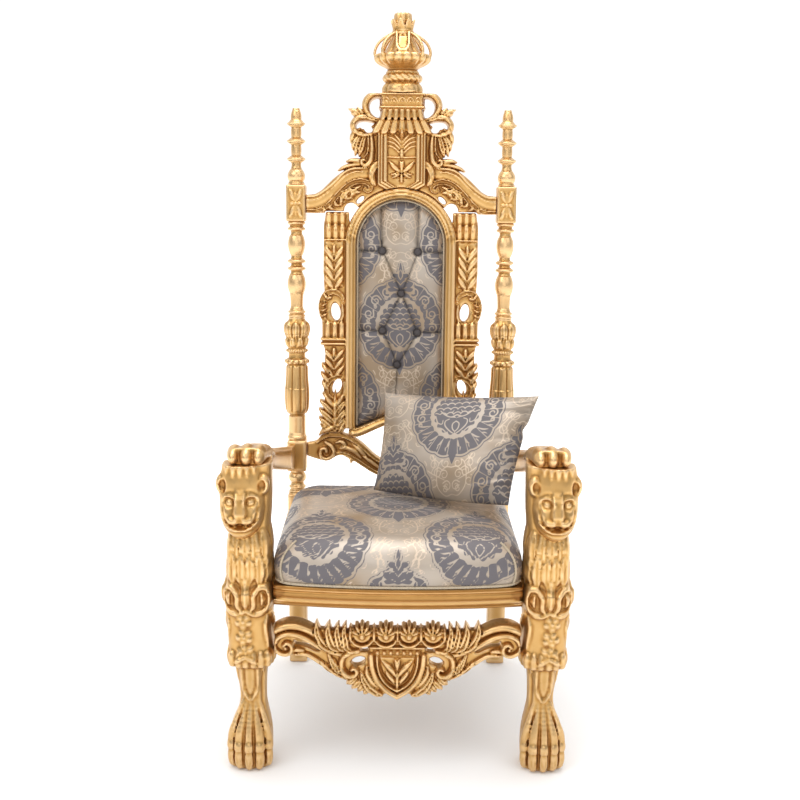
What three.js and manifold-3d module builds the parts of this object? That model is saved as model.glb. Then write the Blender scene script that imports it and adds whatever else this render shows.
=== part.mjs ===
// Carved gilt throne with lion legs: one named solid per physical piece.
// Millimetres, +Z up, front towards -Y, standing on z = 0.
import * as THREE from "three";
import { mergeVertices } from "three/addons/utils/BufferGeometryUtils.js";
import Module from "manifold-3d";

// Driving dimensions
const total_height = 1800;
const post_spacing = 566;
const leg_spacing = 700;
const leg_face_y = -304;
const rear_post_y = 295;
const recline_deg = 3.86;
const rail_top = 462;
const rail_height = 48;
const arch_half_width = 121;
const arch_moulding = 29;
const board_thickness = 34;
const post_block = 54;
const rear_leg_width = 50;
const cushion_height = 76;
const pad_thickness = 30;
const clearance = 0.3;

// Sizes worked out from them
const post_x = post_spacing / 2;
const leg_x = leg_spacing / 2;
const back_up = (total_height - rail_top) / (1800 - 462);
const back_wide = (post_x - post_block / 2) / 256;
const low_up = rail_top / 462;
const rail_bottom = rail_top - rail_height;
const arch_outer = arch_half_width + arch_moulding;
const arch_centre = 1196;
const board_front = -board_thickness / 2;
const post_inner = 256 - clearance / back_wide;
const leg_inner = leg_x - 61;
const seat_back_y = rear_post_y - rear_leg_width / 2 - 8;
const cushion_bottom = rail_top + clearance;

const wasm = await Module();
wasm.setup();

const gold = { color: 0xc4914a, roughness: 0.36, metalness: 0.9 };
const fabric = { color: 0x9a9089, roughness: 0.6, metalness: 0.0 };
const cord = { color: 0xb9a27c, roughness: 0.7, metalness: 0.0 };

// Turns a closed three.js geometry into a manifold solid
function toSolid(geometry) {
  let g = geometry.clone();
  for (const name of Object.keys(g.attributes)) {
    if (name !== "position") {
      g.deleteAttribute(name);
    }
  }
  g = mergeVertices(g, 1e-4);
  const vertProperties = new Float32Array(g.attributes.position.array);
  const triVerts = new Uint32Array(g.index.array);
  const mesh = new wasm.Mesh({ numProp: 3, vertProperties, triVerts });
  let solid = new wasm.Manifold(mesh);
  if (solid.volume() < 0) {
    const flipped = triVerts.slice();
    for (let i = 0; i < flipped.length; i += 3) {
      [flipped[i], flipped[i + 1]] = [flipped[i + 1], flipped[i]];
    }
    solid = new wasm.Manifold(new wasm.Mesh({ numProp: 3, vertProperties, triVerts: flipped }));
  }
  return solid;
}

function join(solids) {
  return solids.reduce((whole, next) => whole.add(next));
}

function toMesh(solid, name, look) {
  const m = solid.getMesh();
  const positions = new Float32Array(m.vertProperties.length / m.numProp * 3);
  for (let i = 0; i < positions.length / 3; i += 1) {
    for (let k = 0; k < 3; k += 1) {
      positions[i * 3 + k] = m.vertProperties[i * m.numProp + k];
    }
  }
  const g = new THREE.BufferGeometry();
  g.setAttribute("position", new THREE.BufferAttribute(positions, 3));
  g.setIndex(new THREE.BufferAttribute(new Uint32Array(m.triVerts), 1));
  g.computeVertexNormals();
  const mesh = new THREE.Mesh(g, new THREE.MeshStandardMaterial(look));
  mesh.name = name;
  return mesh;
}

// Closed skin over rings that all have the same number of points
function loft(rings) {
  const n = rings[0].length;
  const positions = rings.flat(2);
  const index = [];
  for (let r = 0; r + 1 < rings.length; r += 1) {
    for (let i = 0; i < n; i += 1) {
      const a = r * n + i;
      const b = r * n + (i + 1) % n;
      index.push(a, b, b + n, a, b + n, a + n);
    }
  }
  for (const [ring, turn] of [[0, true], [rings.length - 1, false]]) {
    const centre = [0, 1, 2].map((k) => rings[ring].reduce((s, p) => s + p[k], 0) / n);
    const c = positions.length / 3;
    positions.push(...centre);
    for (let i = 0; i < n; i += 1) {
      const a = ring * n + i;
      const b = ring * n + (i + 1) % n;
      index.push(...(turn ? [c, b, a] : [c, a, b]));
    }
  }
  const g = new THREE.BufferGeometry();
  g.setAttribute("position", new THREE.BufferAttribute(new Float32Array(positions), 3));
  g.setIndex(index);
  return toSolid(g);
}

// Round or lobed turned shape standing on z: profile rows are [height, radius]
function turned(profile, sides = 10, lobes = 0, depth = 0) {
  const rings = profile.map(([z, r]) => {
    const ring = [];
    for (let i = 0; i < sides; i += 1) {
      const a = (i + 0.5) / sides * Math.PI * 2;
      const rr = r * (1 - (lobes ? depth * (i % 2) : 0));
      ring.push([rr * Math.cos(a), rr * Math.sin(a), z]);
    }
    return ring;
  });
  return loft(rings);
}

// Rings of a rounded box: rows are [z, x, y, half width, half depth, squareness]
function body(rows, sides = 14) {
  const rings = rows.map(([z, cx, cy, hx, hy, q = 2.6]) => {
    const ring = [];
    for (let i = 0; i < sides; i += 1) {
      const a = (i + 0.5) / sides * Math.PI * 2;
      const c = Math.cos(a);
      const s = Math.sin(a);
      const k = (Math.abs(c) ** q + Math.abs(s) ** q) ** (-1 / q);
      ring.push([cx + hx * c * k, cy + hy * s * k, z]);
    }
    return ring;
  });
  return loft(rings);
}

function box(x0, x1, y0, y1, z0, z1) {
  const g = new THREE.BoxGeometry(x1 - x0, y1 - y0, z1 - z0);
  g.translate((x0 + x1) / 2, (y0 + y1) / 2, (z0 + z1) / 2);
  return toSolid(g);
}

// Flat plate cut from an outline in x and z, from y0 at the front to y1 behind
function plate(points, y0, y1, holes = []) {
  const shape = new THREE.Shape(points.map(([x, z]) => new THREE.Vector2(x, z)));
  for (const hole of holes) {
    shape.holes.push(new THREE.Path(hole.map(([x, z]) => new THREE.Vector2(x, z))));
  }
  const g = new THREE.ExtrudeGeometry(shape, { depth: y1 - y0, bevelEnabled: false });
  g.rotateX(Math.PI / 2);
  g.translate(0, y1, 0);
  return toSolid(g);
}

function ellipse(x, z, a, b, n = 6, tilt = 0) {
  const points = [];
  for (let i = 0; i < n; i += 1) {
    const t = i / n * Math.PI * 2;
    const u = a * Math.cos(t);
    const v = b * Math.sin(t);
    points.push([x + u * Math.cos(tilt) - v * Math.sin(tilt), z + u * Math.sin(tilt) + v * Math.cos(tilt)]);
  }
  return points;
}

// Raised carved band along a line in the x-z plane; rows are [x, z, width, height]
function band(rows, y) {
  const rings = rows.map(([x, z, w, h], i) => {
    const p = rows[Math.max(i - 1, 0)];
    const q = rows[Math.min(i + 1, rows.length - 1)];
    const len = Math.hypot(q[0] - p[0], q[1] - p[1]) || 1;
    const nx = -(q[1] - p[1]) / len;
    const nz = (q[0] - p[0]) / len;
    const at = (u, v) => [x + nx * w * u, y + v, z + nz * w * u];
    return [at(-0.5, 4), at(0, -h), at(0.5, 4)];
  });
  return loft(rings);
}

function mirrored(solid) {
  return solid.mirror([1, 0, 0]);
}

function both(solid) {
  return solid.add(mirrored(solid));
}

function mirrorPoints(points) {
  const right = points.filter((p, i) => p[0] > 0.01 || i === 0 || i === points.length - 1);
  const left = right.map(([x, z]) => [-x, z]).reverse();
  return right.concat(left.filter(([x]) => x < -0.01));
}

// Places a solid drawn in the upright back plane: stretch to size, then lean back
function lean(solid) {
  const stretched = solid
    .translate([0, 0, -462])
    .scale([back_wide, 1, back_up])
    .translate([0, 0, rail_top]);
  return stretched
    .translate([0, 0, -rail_top])
    .rotate([-recline_deg, 0, 0])
    .translate([0, rear_post_y, rail_top]);
}

// Four-leaf flower in a sunk panel, as on the post blocks
function leafFlower(x, z, reach, y, petals = 4, rise = 4) {
  const parts = [loft([
    ellipse(x, z, reach * 0.3, reach * 0.3, 4).map(([a, b]) => [a, y + 2, b]),
    ellipse(x, z, reach * 0.2, reach * 0.2, 4).map(([a, b]) => [a, y - rise - 1.5, b]),
  ])];
  for (let i = 0; i < petals; i += 1) {
    const t = (i + 0.5) / petals * Math.PI * 2;
    const dx = Math.cos(t);
    const dz = Math.sin(t);
    parts.push(band([
      [x + dx * reach * 0.15, z + dz * reach * 0.15, reach * 0.6, rise],
      [x + dx * reach, z + dz * reach, reach * 0.08, 0.5],
    ], y));
  }
  return join(parts);
}

// Back posts: turned above the seat, square leg below
function rearPost() {
  const spire = [
    [1352, 22], [1376, 24.5], [1408, 14], [1422, 25], [1436, 13], [1455, 14], [1469, 25],
    [1484, 13], [1500, 14], [1514, 25], [1524, 15], [1553, 10],
  ];
  const middle = [
    [990, 24], [1014, 24.5], [1024, 18], [1040, 17], [1094, 24.5], [1120, 17], [1129, 24.5],
    [1139, 17], [1149, 24.5], [1160, 17], [1186, 24], [1228, 16], [1237, 24], [1255, 24],
  ];
  const foot = [[496, 24], [520, 24], [531, 17], [549, 24.5], [568, 19]];
  const vase = [
    [718, 23], [730, 26], [800, 33], [862, 36], [874, 36], [882, 31], [930, 33], [972, 37],
    [992, 24],
  ];
  const half = post_block / 2;
  const upper = join([
    turned(spire, 8),
    turned(middle, 8),
    turned(vase, 12, 6, 0.12),
    turned([[650, 25], [666, 26], [674, 23.5], [722, 23.5]], 8),
    turned(foot, 8),
    box(-half, half, -half, half, 1254, 1353),
    box(-half, half, -half, half, 567, 655),
    leafFlower(0, 1303, 30, -half + 1),
  ]);
  const w = rear_leg_width / 2;
  const stretched = upper
    .translate([0, 0, -462])
    .scale([1, 1, back_up])
    .rotate([-recline_deg, 0, 0])
    .translate([0, rear_post_y, rail_top]);
  const leg = box(-w, w, rear_post_y - w, rear_post_y + w, 0, rail_top + 40);
  return stretched.add(leg);
}

// Crest: outline of the right half, from the bottom middle to the top middle
const crest_outline = [
  [0, 1225], [119, 1225], [121, 1292], [126, 1302], [134, 1307], [145, 1305], [152, 1297],
  [153, 1282 + clearance], [203, 1282 + clearance], [206, 1277], [post_inner, 1277],
  [post_inner, 1327], [229, 1330], [214, 1336], [199, 1346], [187, 1357], [175, 1370],
  [160, 1387], [165, 1394], [158, 1401], [138, 1408], [144, 1415], [138, 1423], [117, 1427],
  [121, 1434], [126, 1445], [131, 1463], [128, 1479], [132, 1495], [134, 1509],
  [128, 1523], [123, 1531], [127, 1540], [136, 1555], [115, 1555], [101, 1549],
  [102, 1566], [95, 1581], [83, 1592], [71, 1595], [57, 1592], [0, 1592],
];
const crest_holes = [
  [[62, 1530], [72, 1531], [78, 1540], [76, 1553], [68, 1562], [61, 1556]],
  [[79, 1497], [86, 1491], [97, 1494], [99, 1503], [90, 1509], [82, 1507]],
  [[98, 1315], [111, 1324], [122, 1320], [114, 1308]],
];

function crest() {
  const f = board_front;
  const holes = crest_holes.concat(crest_holes.map((h) => h.map(([x, z]) => [-x, z])));
  const blank = plate(mirrorPoints(crest_outline), f, -f, holes);
  const arch_cut = plate(ellipse(0, arch_centre, arch_outer + 1, arch_outer + 1, 40), -60, 60);
  const half = join([
    band([[250, 1308, 34, 13], [222, 1310, 36, 13], [178, 1352, 36, 13], [155, 1380, 30, 13],
      [98, 1394, 20, 10]], f),
    band([[250, 1284, 12, 9], [214, 1288, 14, 9], [162, 1332, 16, 11], [139, 1357, 15, 11],
      [90, 1360, 13, 11], [84, 1342, 11, 9]], f),
    band([[163, 1396, 8, 8], [138, 1404, 15, 9], [72, 1405, 6, 5]], f),
    band([[140, 1415, 7, 6], [103, 1420, 20, 12], [90, 1411, 15, 12]], f),
    band([[87, 1356, 8, 8], [76, 1384, 22, 13], [72, 1404, 8, 6]], f),
    band([[86, 1500, 10, 9], [87, 1450, 18, 12], [98, 1420, 14, 11]], f),
    band([[122, 1440, 8, 6], [112, 1488, 24, 12]], f),
    band([[60, 1496, 7, 6], [78, 1522, 11, 12], [112, 1522, 15, 15], [122, 1500, 14, 13],
      [102, 1486, 8, 8]], f),
    band([[130, 1549, 5, 5], [100, 1532, 14, 10]], f),
    band([[60, 1585, 11, 11], [80, 1582, 17, 16], [91, 1558, 20, 16], [72, 1524, 9, 8]], f),
    band([[118, 1316, 6, 6], [140, 1328, 18, 11], [166, 1298, 10, 7]], f),
  ]);
  const shield_outer = mirrorPoints([
    [0, 1322], [64, 1366], [65, 1500], [0, 1500],
  ]);
  const shield_inner = mirrorPoints([
    [0, 1341], [42, 1370], [42, 1490], [0, 1490],
  ]);
  const shield = plate(shield_outer, f - 14, f + 2).subtract(plate(shield_inner, f - 20, f - 7));
  const feathers = join([1448, 1466].map((z) => band([
    [2, z - 8, 9, 4], [18, z, 9, 5], [38, z - 8, 8, 3],
  ], f - 7)));
  const leaves = join([
    band([[2, 1384, 6, 3], [16, 1402, 15, 6], [35, 1418, 3, 2]], f - 7),
    band([[2, 1366, 9, 4], [34, 1374, 6, 4]], f - 7),
    band([[-1, 1428, 6, 5], [42, 1428, 6, 5]], f - 6),
  ]);
  const skirt = [];
  for (const [z0, z1, reach, count, w, y] of [[1552, 1523, 60, 5, 25, 18], [1526, 1486, 78, 6, 25, 14]]) {
    for (let i = 0; i < count; i += 1) {
      const t = (i - (count - 1) / 2) / ((count - 1) / 2);
      const x0 = t * reach * 0.72;
      const drop = (z1 - z0) * (1 - 0.25 * Math.abs(t));
      skirt.push(band([
        [x0, z0, w, y], [x0 + t * reach * 0.28, z0 + drop, w * 0.4, y * 0.6],
      ], f - 10));
    }
  }
  const block = join([
    box(-53, 53, f - 18, 28, 1552, 1592),
    box(-56, 56, f - 21, 31, 1582, 1592),
    box(-55, 55, f - 20, 30, 1550, 1558),
    plate(mirrorPoints([[0, 1489], [66, 1489], [74, 1520], [56, 1553], [0, 1553]]), f - 10, f + 4),
  ]);
  const zigzag = join([-33, 0, 33].map((x) => band([
    [x - 15, 1576, 6, 4], [x, 1562, 6, 5], [x + 15, 1576, 6, 4],
  ], f - 17)));
  return lean(join([blank, both(half), shield, both(feathers), both(leaves), ...skirt, block, zigzag])
    .subtract(arch_cut));
}

// Crown: lobed bowl, open hoops round a core, and a flower on top
function crown() {
  const z0 = 1592 + clearance;
  const stem = turned([[z0, 52], [1606, 54], [1622, 46], [1624, 42]], 12, 6, 0.06);
  const rope = turned([[1620, 44], [1626, 51], [1638, 51], [1645, 43], [1654, 43]], 12);
  const bowl = turned([[1650, 40], [1661, 56], [1674, 72], [1684, 74], [1691, 62]], 16, 8, 0.08);
  const core = turned([[1676, 46], [1690, 50], [1712, 38], [1740, 24], [1758, 24]], 8);
  const tip = turned([[1752, 27], [1759, 24], [1779, 31], [1782, 24], [1802.2, 20]], 10, 5, 0.12);
  const parts = [stem, rope, bowl, core, tip];
  for (let i = 0; i < 8; i += 1) {
    const a = (i + 0.5) / 8 * Math.PI * 2;
    const rows = [[70, 1680], [72, 1700], [52, 1732], [20, 1748]];
    const rings = rows.map(([r, z], k) => {
      const p = rows[Math.max(k - 1, 0)];
      const q = rows[Math.min(k + 1, rows.length - 1)];
      const len = Math.hypot(q[0] - p[0], q[1] - p[1]);
      const nr = (q[1] - p[1]) / len;
      const nz = -(q[0] - p[0]) / len;
      return [[-5, -3], [5, -3], [5, 3], [-5, 3]].map(([u, v]) => {
        const rr = r + nr * v;
        return [rr * Math.cos(a) - u * Math.sin(a), rr * Math.sin(a) + u * Math.cos(a), z + nz * v];
      });
    });
    parts.push(loft(rings));
  }
  return lean(join(parts));
}

// Side stile and arch: outline of the right stile, top to bottom and back up
const stile_outline = [
  [145, 1282 - clearance], [203, 1282 - clearance], [206, 1264], [209, 1240], [209, 1208],
  [207, 1069], [216, 1050], [218, 1010], [213, 943], [206, 905], [217, 868], [208, 850],
  [217, 824], [206, 786], [222, 730], [217, 712], [223, 696], [219, 664], [200, 668],
  [172, 684], [150, 690], [130, 672], [108, 664], [37, 700], [0, 707], [0, 733], [38, 727],
  [arch_half_width, 687], [arch_half_width + 10, 700], [arch_half_width + 10, 1190],
];
const stile_holes = [
  ellipse(174, 1007, 12, 22, 8, -0.1),
  ellipse(168, 805, 11, 20, 8, 0.35),
];

function backFrame() {
  const f = board_front;
  const n = 20;
  const ring = [];
  for (const [r, dir] of [[arch_outer, 1], [arch_half_width, -1]]) {
    for (let i = 0; i <= n; i += 1) {
      const t = Math.PI * (dir > 0 ? i / n : 1 - i / n);
      ring.push([r * Math.cos(t), arch_centre + r * Math.sin(t)]);
    }
  }
  const arch = plate(ring, f - 8, -f);
  const stile = plate(stile_outline, f, -f, stile_holes);
  const column = plate([[arch_half_width, 687], [arch_outer, 680], [arch_outer, 1197],
    [arch_half_width, 1197]], f - 8, -f);
  const sill = plate([[0, 707], [37, 700], [108, 664], [122, 668], [122, 687], [38, 727], [0, 733]],
    f - 6, -f);
  const leaf = (x, z, dx, dz, w, h) => band([
    [x, z, w, h], [x + dx, z + dz, w * 0.3, h * 0.5],
  ], f);
  const half = [];
  for (const [z, reach] of [[1278, 34], [1244, 32]]) {
    for (let i = 0; i < 3; i += 1) {
      half.push(leaf(158 + i * 19, z - reach, 0, reach, 18, 9));
    }
  }
  for (const z of [1170, 1120]) {
    half.push(leaf(180, z - 26, -20, 42, 22, 9), leaf(180, z - 26, 20, 42, 22, 9));
  }
  half.push(band([[156, 1030, 8, 7], [172, 1054, 15, 11], [200, 1050, 16, 11], [206, 996, 12, 9]], f));
  for (let i = 0; i < 3; i += 1) {
    half.push(leaf(162 + i * 20, 944, 0, 34, 19, 9));
  }
  half.push(band([[152, 929, 17, 9], [212, 929, 17, 9]], f));
  for (const [z, s] of [[912, 1], [872, 1]]) {
    half.push(leaf(178, z - 26, 30 * s, 20, 22, 10), leaf(178, z - 26, -20, 22, 20, 10));
  }
  half.push(band([[156, 846, 6, 6], [192, 840, 14, 10], [200, 800, 12, 9]], f));
  for (const [z, dx] of [[780, 28], [732, 34]]) {
    half.push(leaf(176, z - 40, dx, 34, 26, 11), leaf(176, z - 40, -18, 32, 20, 10));
  }
  half.push(leaf(172, 690, 42, -18, 14, 8));
  const rail_cut = plate(mirrorPoints(lower_outline), -60, 60).translate([0, 0, 3 * clearance]);
  const whole = join([arch, both(stile), both(column), both(sill), both(join(half))]);
  return lean(whole.subtract(rail_cut));
}

function backBoard() {
  const r = arch_half_width + 7;
  const arc = [];
  for (let i = 0; i <= 16; i += 1) {
    const t = Math.PI * i / 16;
    arc.push([r * Math.cos(t), arch_centre + r * Math.sin(t)]);
  }
  const back = -board_front + clearance;
  return lean(plate([...arc, [-r, 676], [-40, 716], [0, 722], [40, 716], [r, 676]], back, back + 6));
}

const pad_buttons = [[-50, 1178], [46, 1176], [2, 1063], [-48, 961], [47, 956], [-7, 867]];

function padOutline(inset) {
  const r = arch_half_width - inset;
  const points = [];
  for (let i = 0; i <= 12; i += 1) {
    const t = Math.PI * i / 12;
    points.push([r * Math.cos(t), arch_centre + r * Math.sin(t)]);
  }
  return [...points, [-r, 687 + inset * 1.6], [-38, 727 + inset * 1.1], [0, 733 + inset],
    [38, 727 + inset * 1.1], [r, 687 + inset * 1.6]];
}

function backPad() {
  const rows = [[clearance * 2, 17], [clearance * 2, -8], [3, -15], [14, -20], [40, -24]];
  const y = -board_front - 17 - clearance;
  const rings = rows.map(([inset, v]) => padOutline(inset).map(([x, z]) => [x, y + v * pad_thickness / 30, z]));
  const pad = loft(rings);
  const dimples = join(pad_buttons.map(([x, z]) => loft([
    ellipse(x, z, 22, 22).map(([a, b]) => [a, y - 30, b]),
    ellipse(x, z, 7, 7).map(([a, b]) => [a, y - 10, b]),
  ])));
  return lean(pad.subtract(dimples));
}

function backButton([x, z]) {
  const y = -board_front - 17 - clearance;
  return lean(loft([
    ellipse(x, z, 6, 6).map(([a, b]) => [a, y - 10 - clearance, b]),
    ellipse(x, z, 7.5, 7.5).map(([a, b]) => [a, y - 14, b]),
    ellipse(x, z, 3.5, 3.5).map(([a, b]) => [a, y - 17, b]),
  ]));
}

// Lower back rail: right half from the bottom middle to the top middle
const lower_outline = [
  [0, 545], [30, 548], [61, 558], [88, 575], [106, 588], [130, 592], [133, 604], [159, 613],
  [177, 609], [195, 596], [216, 595], [239, 604], [post_inner, 610], [post_inner, 646],
  [230, 652], [216, 668], [196, 676], [168, 677], [142, 672], [115, 659], [104, 650],
  [92, 640], [80, 629], [62, 612], [30, 596], [0, 592],
];

function lowerRail() {
  const f = board_front + 4;
  const rail = plate(mirrorPoints(lower_outline), f, 15);
  const half = join([
    band([[208, 612, 12, 12], [212, 632, 13, 12], [188, 638, 14, 12], [182, 612, 12, 11]], f),
    band([[222, 650, 10, 8], [196, 666, 13, 10], [142, 662, 13, 11], [84, 620, 13, 10], [-1, 584, 9, 8]], f),
    band([[190, 604, 8, 7], [162, 622, 10, 8], [104, 596, 12, 9], [30, 554, 9, 7], [-1, 551, 8, 7]], f),
    band([[166, 642, 10, 8], [146, 646, 14, 10], [80, 596, 8, 6]], f),
  ]);
  return lean(both(half).add(rail));
}

// Lion leg on the right as seen from the front; the left one is its mirror
function lionLeg() {
  const face = leg_face_y;
  const column = body([
    [0, 2, face + 36, 46, 48, 3.4], [12, 2, face + 34, 53, 53, 3.2], [62, 2, face + 33, 55, 52, 2.6],
    [104, 0, face + 38, 48, 44, 2.5], [140, -3, face + 42, 37, 37, 2.5], [180, -6, face + 43, 32, 35, 2.6],
    [262, -7, face + 42, 43, 42, 3], [267, -6, face + 44, 53, 52, 3.2], [300, -5, face + 44, 55, 53, 3],
    [345, -3, face + 46, 52, 50, 3], [418, -1, face + 48, 57, 54, 2.8], [450, -2, face + 48, 57, 54, 2.8],
    [500, -6, face + 52, 54, 53, 2.6], [620, -5, face + 58, 52, 51, 2.8], [756, -13, face + 60, 47, 44, 3],
  ], 12);
  const head = body([
    [578, 12, face + 24, 24, 28, 2.2], [600, 12, face + 16, 42, 42, 2.2], [640, 12, face + 15, 48, 40, 2.3],
    [690, 7, face + 27, 51, 42, 2.4], [728, 0, face + 42, 48, 40, 2.5], [756, -6, face + 50, 43, 36, 2.5],
  ], 10);
  const muzzle = body([
    [582, 14, face - 2, 15, 14, 2.2], [600, 17, face - 9, 31, 18, 2.2], [630, 18, face - 10, 24, 18, 2.3],
    [648, 16, face - 4, 15, 18, 2.4], [704, 9, face + 22, 13, 13, 2.4],
  ], 8);
  const mouth = plate([[-6, 614], [18, 600], [44, 614], [18, 617]], face - 40, face - 18);
  const ears = join([[56, 1], [-44, -1]].map(([x, side]) => body([
    [664, x - side * 5, face + 34, 5, 8, 2], [700, x, face + 31, 8, 15, 2], [718, x - side * 2, face + 36, 5, 8, 2],
  ], 6)));
  const eyes = join([[37, 667], [-13, 667]].map(([x, z]) => loft([
    ellipse(x, z, 9, 7).map(([a, b]) => [a, face + 10, b]),
    ellipse(x, z, 5, 4).map(([a, b]) => [a, face - 17, b]),
  ])));
  const mane = [-28, 0, 28].map((x) => band([[x, 758, 24, 15], [x + 4, 722, 8, 21]], face + 22));
  const locks = [];
  for (const [x, top, low, w] of [[-34, 570, 490, 24], [0, 572, 470, 26], [34, 570, 486, 24],
    [-17, 516, 458, 24], [17, 512, 456, 22]]) {
    locks.push(band([[x * 0.9, top, w * 0.6, 7], [x, (top + low) / 2, w, 12], [x * 0.96, low, 4, 5]], face + 6));
  }
  const scrolls = join([[-36, 432], [42, 430]].map(([x, z]) => loft([
    ellipse(x, z, 17, 21, 8).map(([a, b]) => [a, face + 12, b]),
    ellipse(x, z, 12, 16, 8).map(([a, b]) => [a, face - 11, b]),
  ])));
  const tongue = band([[3, 468, 14, 7], [3, 420, 24, 12], [4, 394, 8, 6]], face + 2);
  const flowers = join([[10, 377], [9, 337], [7, 304]].map(([x, z]) => loft([
    ellipse(x, z, 20, 19).map(([a, b]) => [a, face + 2, b]),
    ellipse(x, z, 11, 10).map(([a, b]) => [a, face - 10, b]),
  ])));
  const lip = [-36, -4, 28].map((x) => band([[x, 296, 24, 8], [x, 264, 14, 7]], face - 4));
  const toes = [[-33, 24], [-10, 24], [14, 24], [37, 24]].map(([x, w]) => body([
    [0, x, face + 4, w * 0.36, 14, 2], [20, x, face - 4, w * 0.5, 16, 2.2], [66, x * 0.97, face, w * 0.5, 16, 2.2],
    [136, x * 0.6 - 2, face + 14, w * 0.3, 11, 2.2],
  ], 6));
  const whole = join([column, head, muzzle, ears, eyes, ...mane, ...locks, scrolls, tongue, flowers, ...lip,
    ...toes]).subtract(mouth);
  const top_cut = box(-120, 120, -500, 200, 750 - clearance, 900);
  const floor_cut = box(-120, 120, -500, 200, -40, 0);
  return whole.subtract(top_cut).subtract(floor_cut).scale([1, 1, low_up]);
}

// Arm: hand end with three lobes above the lion, sloping down to the post
function arm() {
  const face = leg_face_y;
  const end_y = rear_post_y + 6;
  const rows = [
    [face + 12, -4, 772, 41, 20], [face + 60, -9, 764, 41, 20], [face + 110, -18, 750, 35, 26],
    [-50, -8, 700, 28, 28], [50, -10, 670, 27, 30], [150, -32, 642, 26, 32],
    [end_y, post_x - leg_x, 612, 26, 36],
  ];
  const rings = rows.map(([y, x, z, hx, hz]) => {
    const ring = [];
    for (let i = 0; i < 8; i += 1) {
      const t = (i + 0.5) / 8 * Math.PI * 2;
      const c = Math.cos(t);
      const s = Math.sin(t);
      const k = (Math.abs(c) ** 3 + Math.abs(s) ** 3) ** (-1 / 3);
      ring.push([x + hx * c * k, y, z + hz * s * k]);
    }
    return ring;
  });
  const lobes = join([-30, -1, 27].map((x) => body([
    [752, x, face + 40, 15, 46, 2.6], [774, x, face + 41, 16, 49, 2.4], [795, x, face + 46, 9, 36, 2],
  ], 8)));
  const seat_cut = box(-leg_x, leg_x, -500, face + 109, 600, 750 + clearance);
  const post_cut = box(-leg_x, leg_x, 0, 200, -200, 300)
    .rotate([-recline_deg, 0, 0])
    .translate([0, rear_post_y - post_block / 2 - 1, rail_top]);
  return loft(rings).add(lobes).subtract(seat_cut).scale([1, 1, low_up]).subtract(post_cut);
}

// Front rail: moulded section run along a gentle forward bow
function bow(x) {
  const t = x / leg_inner;
  return 24 * (1 - t * t);
}

function frontRail() {
  const section = [
    [0, 0], [-6, 1], [-8, 8], [-3, 13], [-4, 22], [-12, 30], [-13, 38], [-7, 42], [-4, 48], [40, 48], [40, 0],
  ];
  const rings = [];
  const half = leg_inner - clearance;
  for (let i = 0; i <= 8; i += 1) {
    const x = -half + 2 * half * i / 8;
    rings.push(section.map(([y, z]) => [x, leg_face_y + 16 + y - bow(x), rail_bottom + z * rail_height / 48]));
  }
  return loft(rings);
}

function sideRail() {
  const y0 = leg_face_y + 106;
  const y1 = rear_post_y - rear_leg_width / 2 - clearance;
  return box(post_x - 4, post_x + 24, y0, y1, rail_bottom + 2, rail_top);
}

function rearRail() {
  const half = post_x - rear_leg_width / 2 - clearance;
  return box(-half, half, rear_post_y - 14, rear_post_y + 14, rail_bottom + 2, rail_top - 2);
}

// Seat cushion: rows from the bottom edge up to the crowned top
function cushionRing(inset, z) {
  const ring = [];
  const back = seat_back_y - inset;
  const x1 = leg_inner - 2 - inset;
  const x2 = post_x - 4 - inset;
  const steps = 8;
  for (let i = 0; i <= steps; i += 1) {
    const x = -x1 + 2 * x1 * i / steps;
    ring.push([x, leg_face_y + 12 - bow(x) + inset, z]);
  }
  for (let i = 0; i <= 4; i += 1) {
    ring.push([x2 - 2 * x2 * i / 4, back, z]);
  }
  return ring;
}

function seatCushion() {
  const top = cushion_bottom + cushion_height;
  const cushion = loft([
    cushionRing(10, cushion_bottom), cushionRing(6, cushion_bottom + 10), cushionRing(3, cushion_bottom + 22),
    cushionRing(3, top - 22), cushionRing(14, top), cushionRing(50, top + 26), cushionRing(120, top + 40),
  ]);
  const h = post_block / 2 + 4;
  const corner = box(post_x - h, post_x + h, rear_post_y - h - 8, rear_post_y + h, 400, 800);
  return cushion.subtract(corner).subtract(mirrored(corner));
}

function seatPiping() {
  const r = 3.2;
  const at = cushionRing(3, cushion_bottom + r + 0.6);
  const rings = [];
  for (let i = 0; i <= 8; i += 1) {
    const [x, y, z] = at[i];
    rings.push([[x, y - r, z - r], [x, y + r, z - r], [x, y + r, z + r], [x, y - r, z + r]]);
  }
  return loft(rings);
}

// Apron between the lion legs: right half from the bottom middle to the top middle
const apron_outline = [
  [0, 178], [14, 186], [33, 178], [62, 189], [87, 200], [108, 210], [121, 227], [145, 238],
  [162, 253], [177, 269], [192, 281], [212, 291], [236, 281], [262, 283], [288, 292],
  [288, 354], [267, 366], [244, 372], [221, 369], [198, 360], [184, 355], [179, 368],
  [166, 359], [150, 368], [133, 355], [114, 364], [101, 355], [83, 364], [66, 355], [55, 358],
  [43, 354], [27, 361], [13, 354], [0, 359],
];
const apron_holes = [
  [[254, 321], [222, 326], [186, 311], [173, 299], [177, 294], [206, 312], [243, 312]],
  ellipse(67, 301, 11, 8),
  ellipse(85, 270, 16, 10, 6, -0.3),
];

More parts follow.
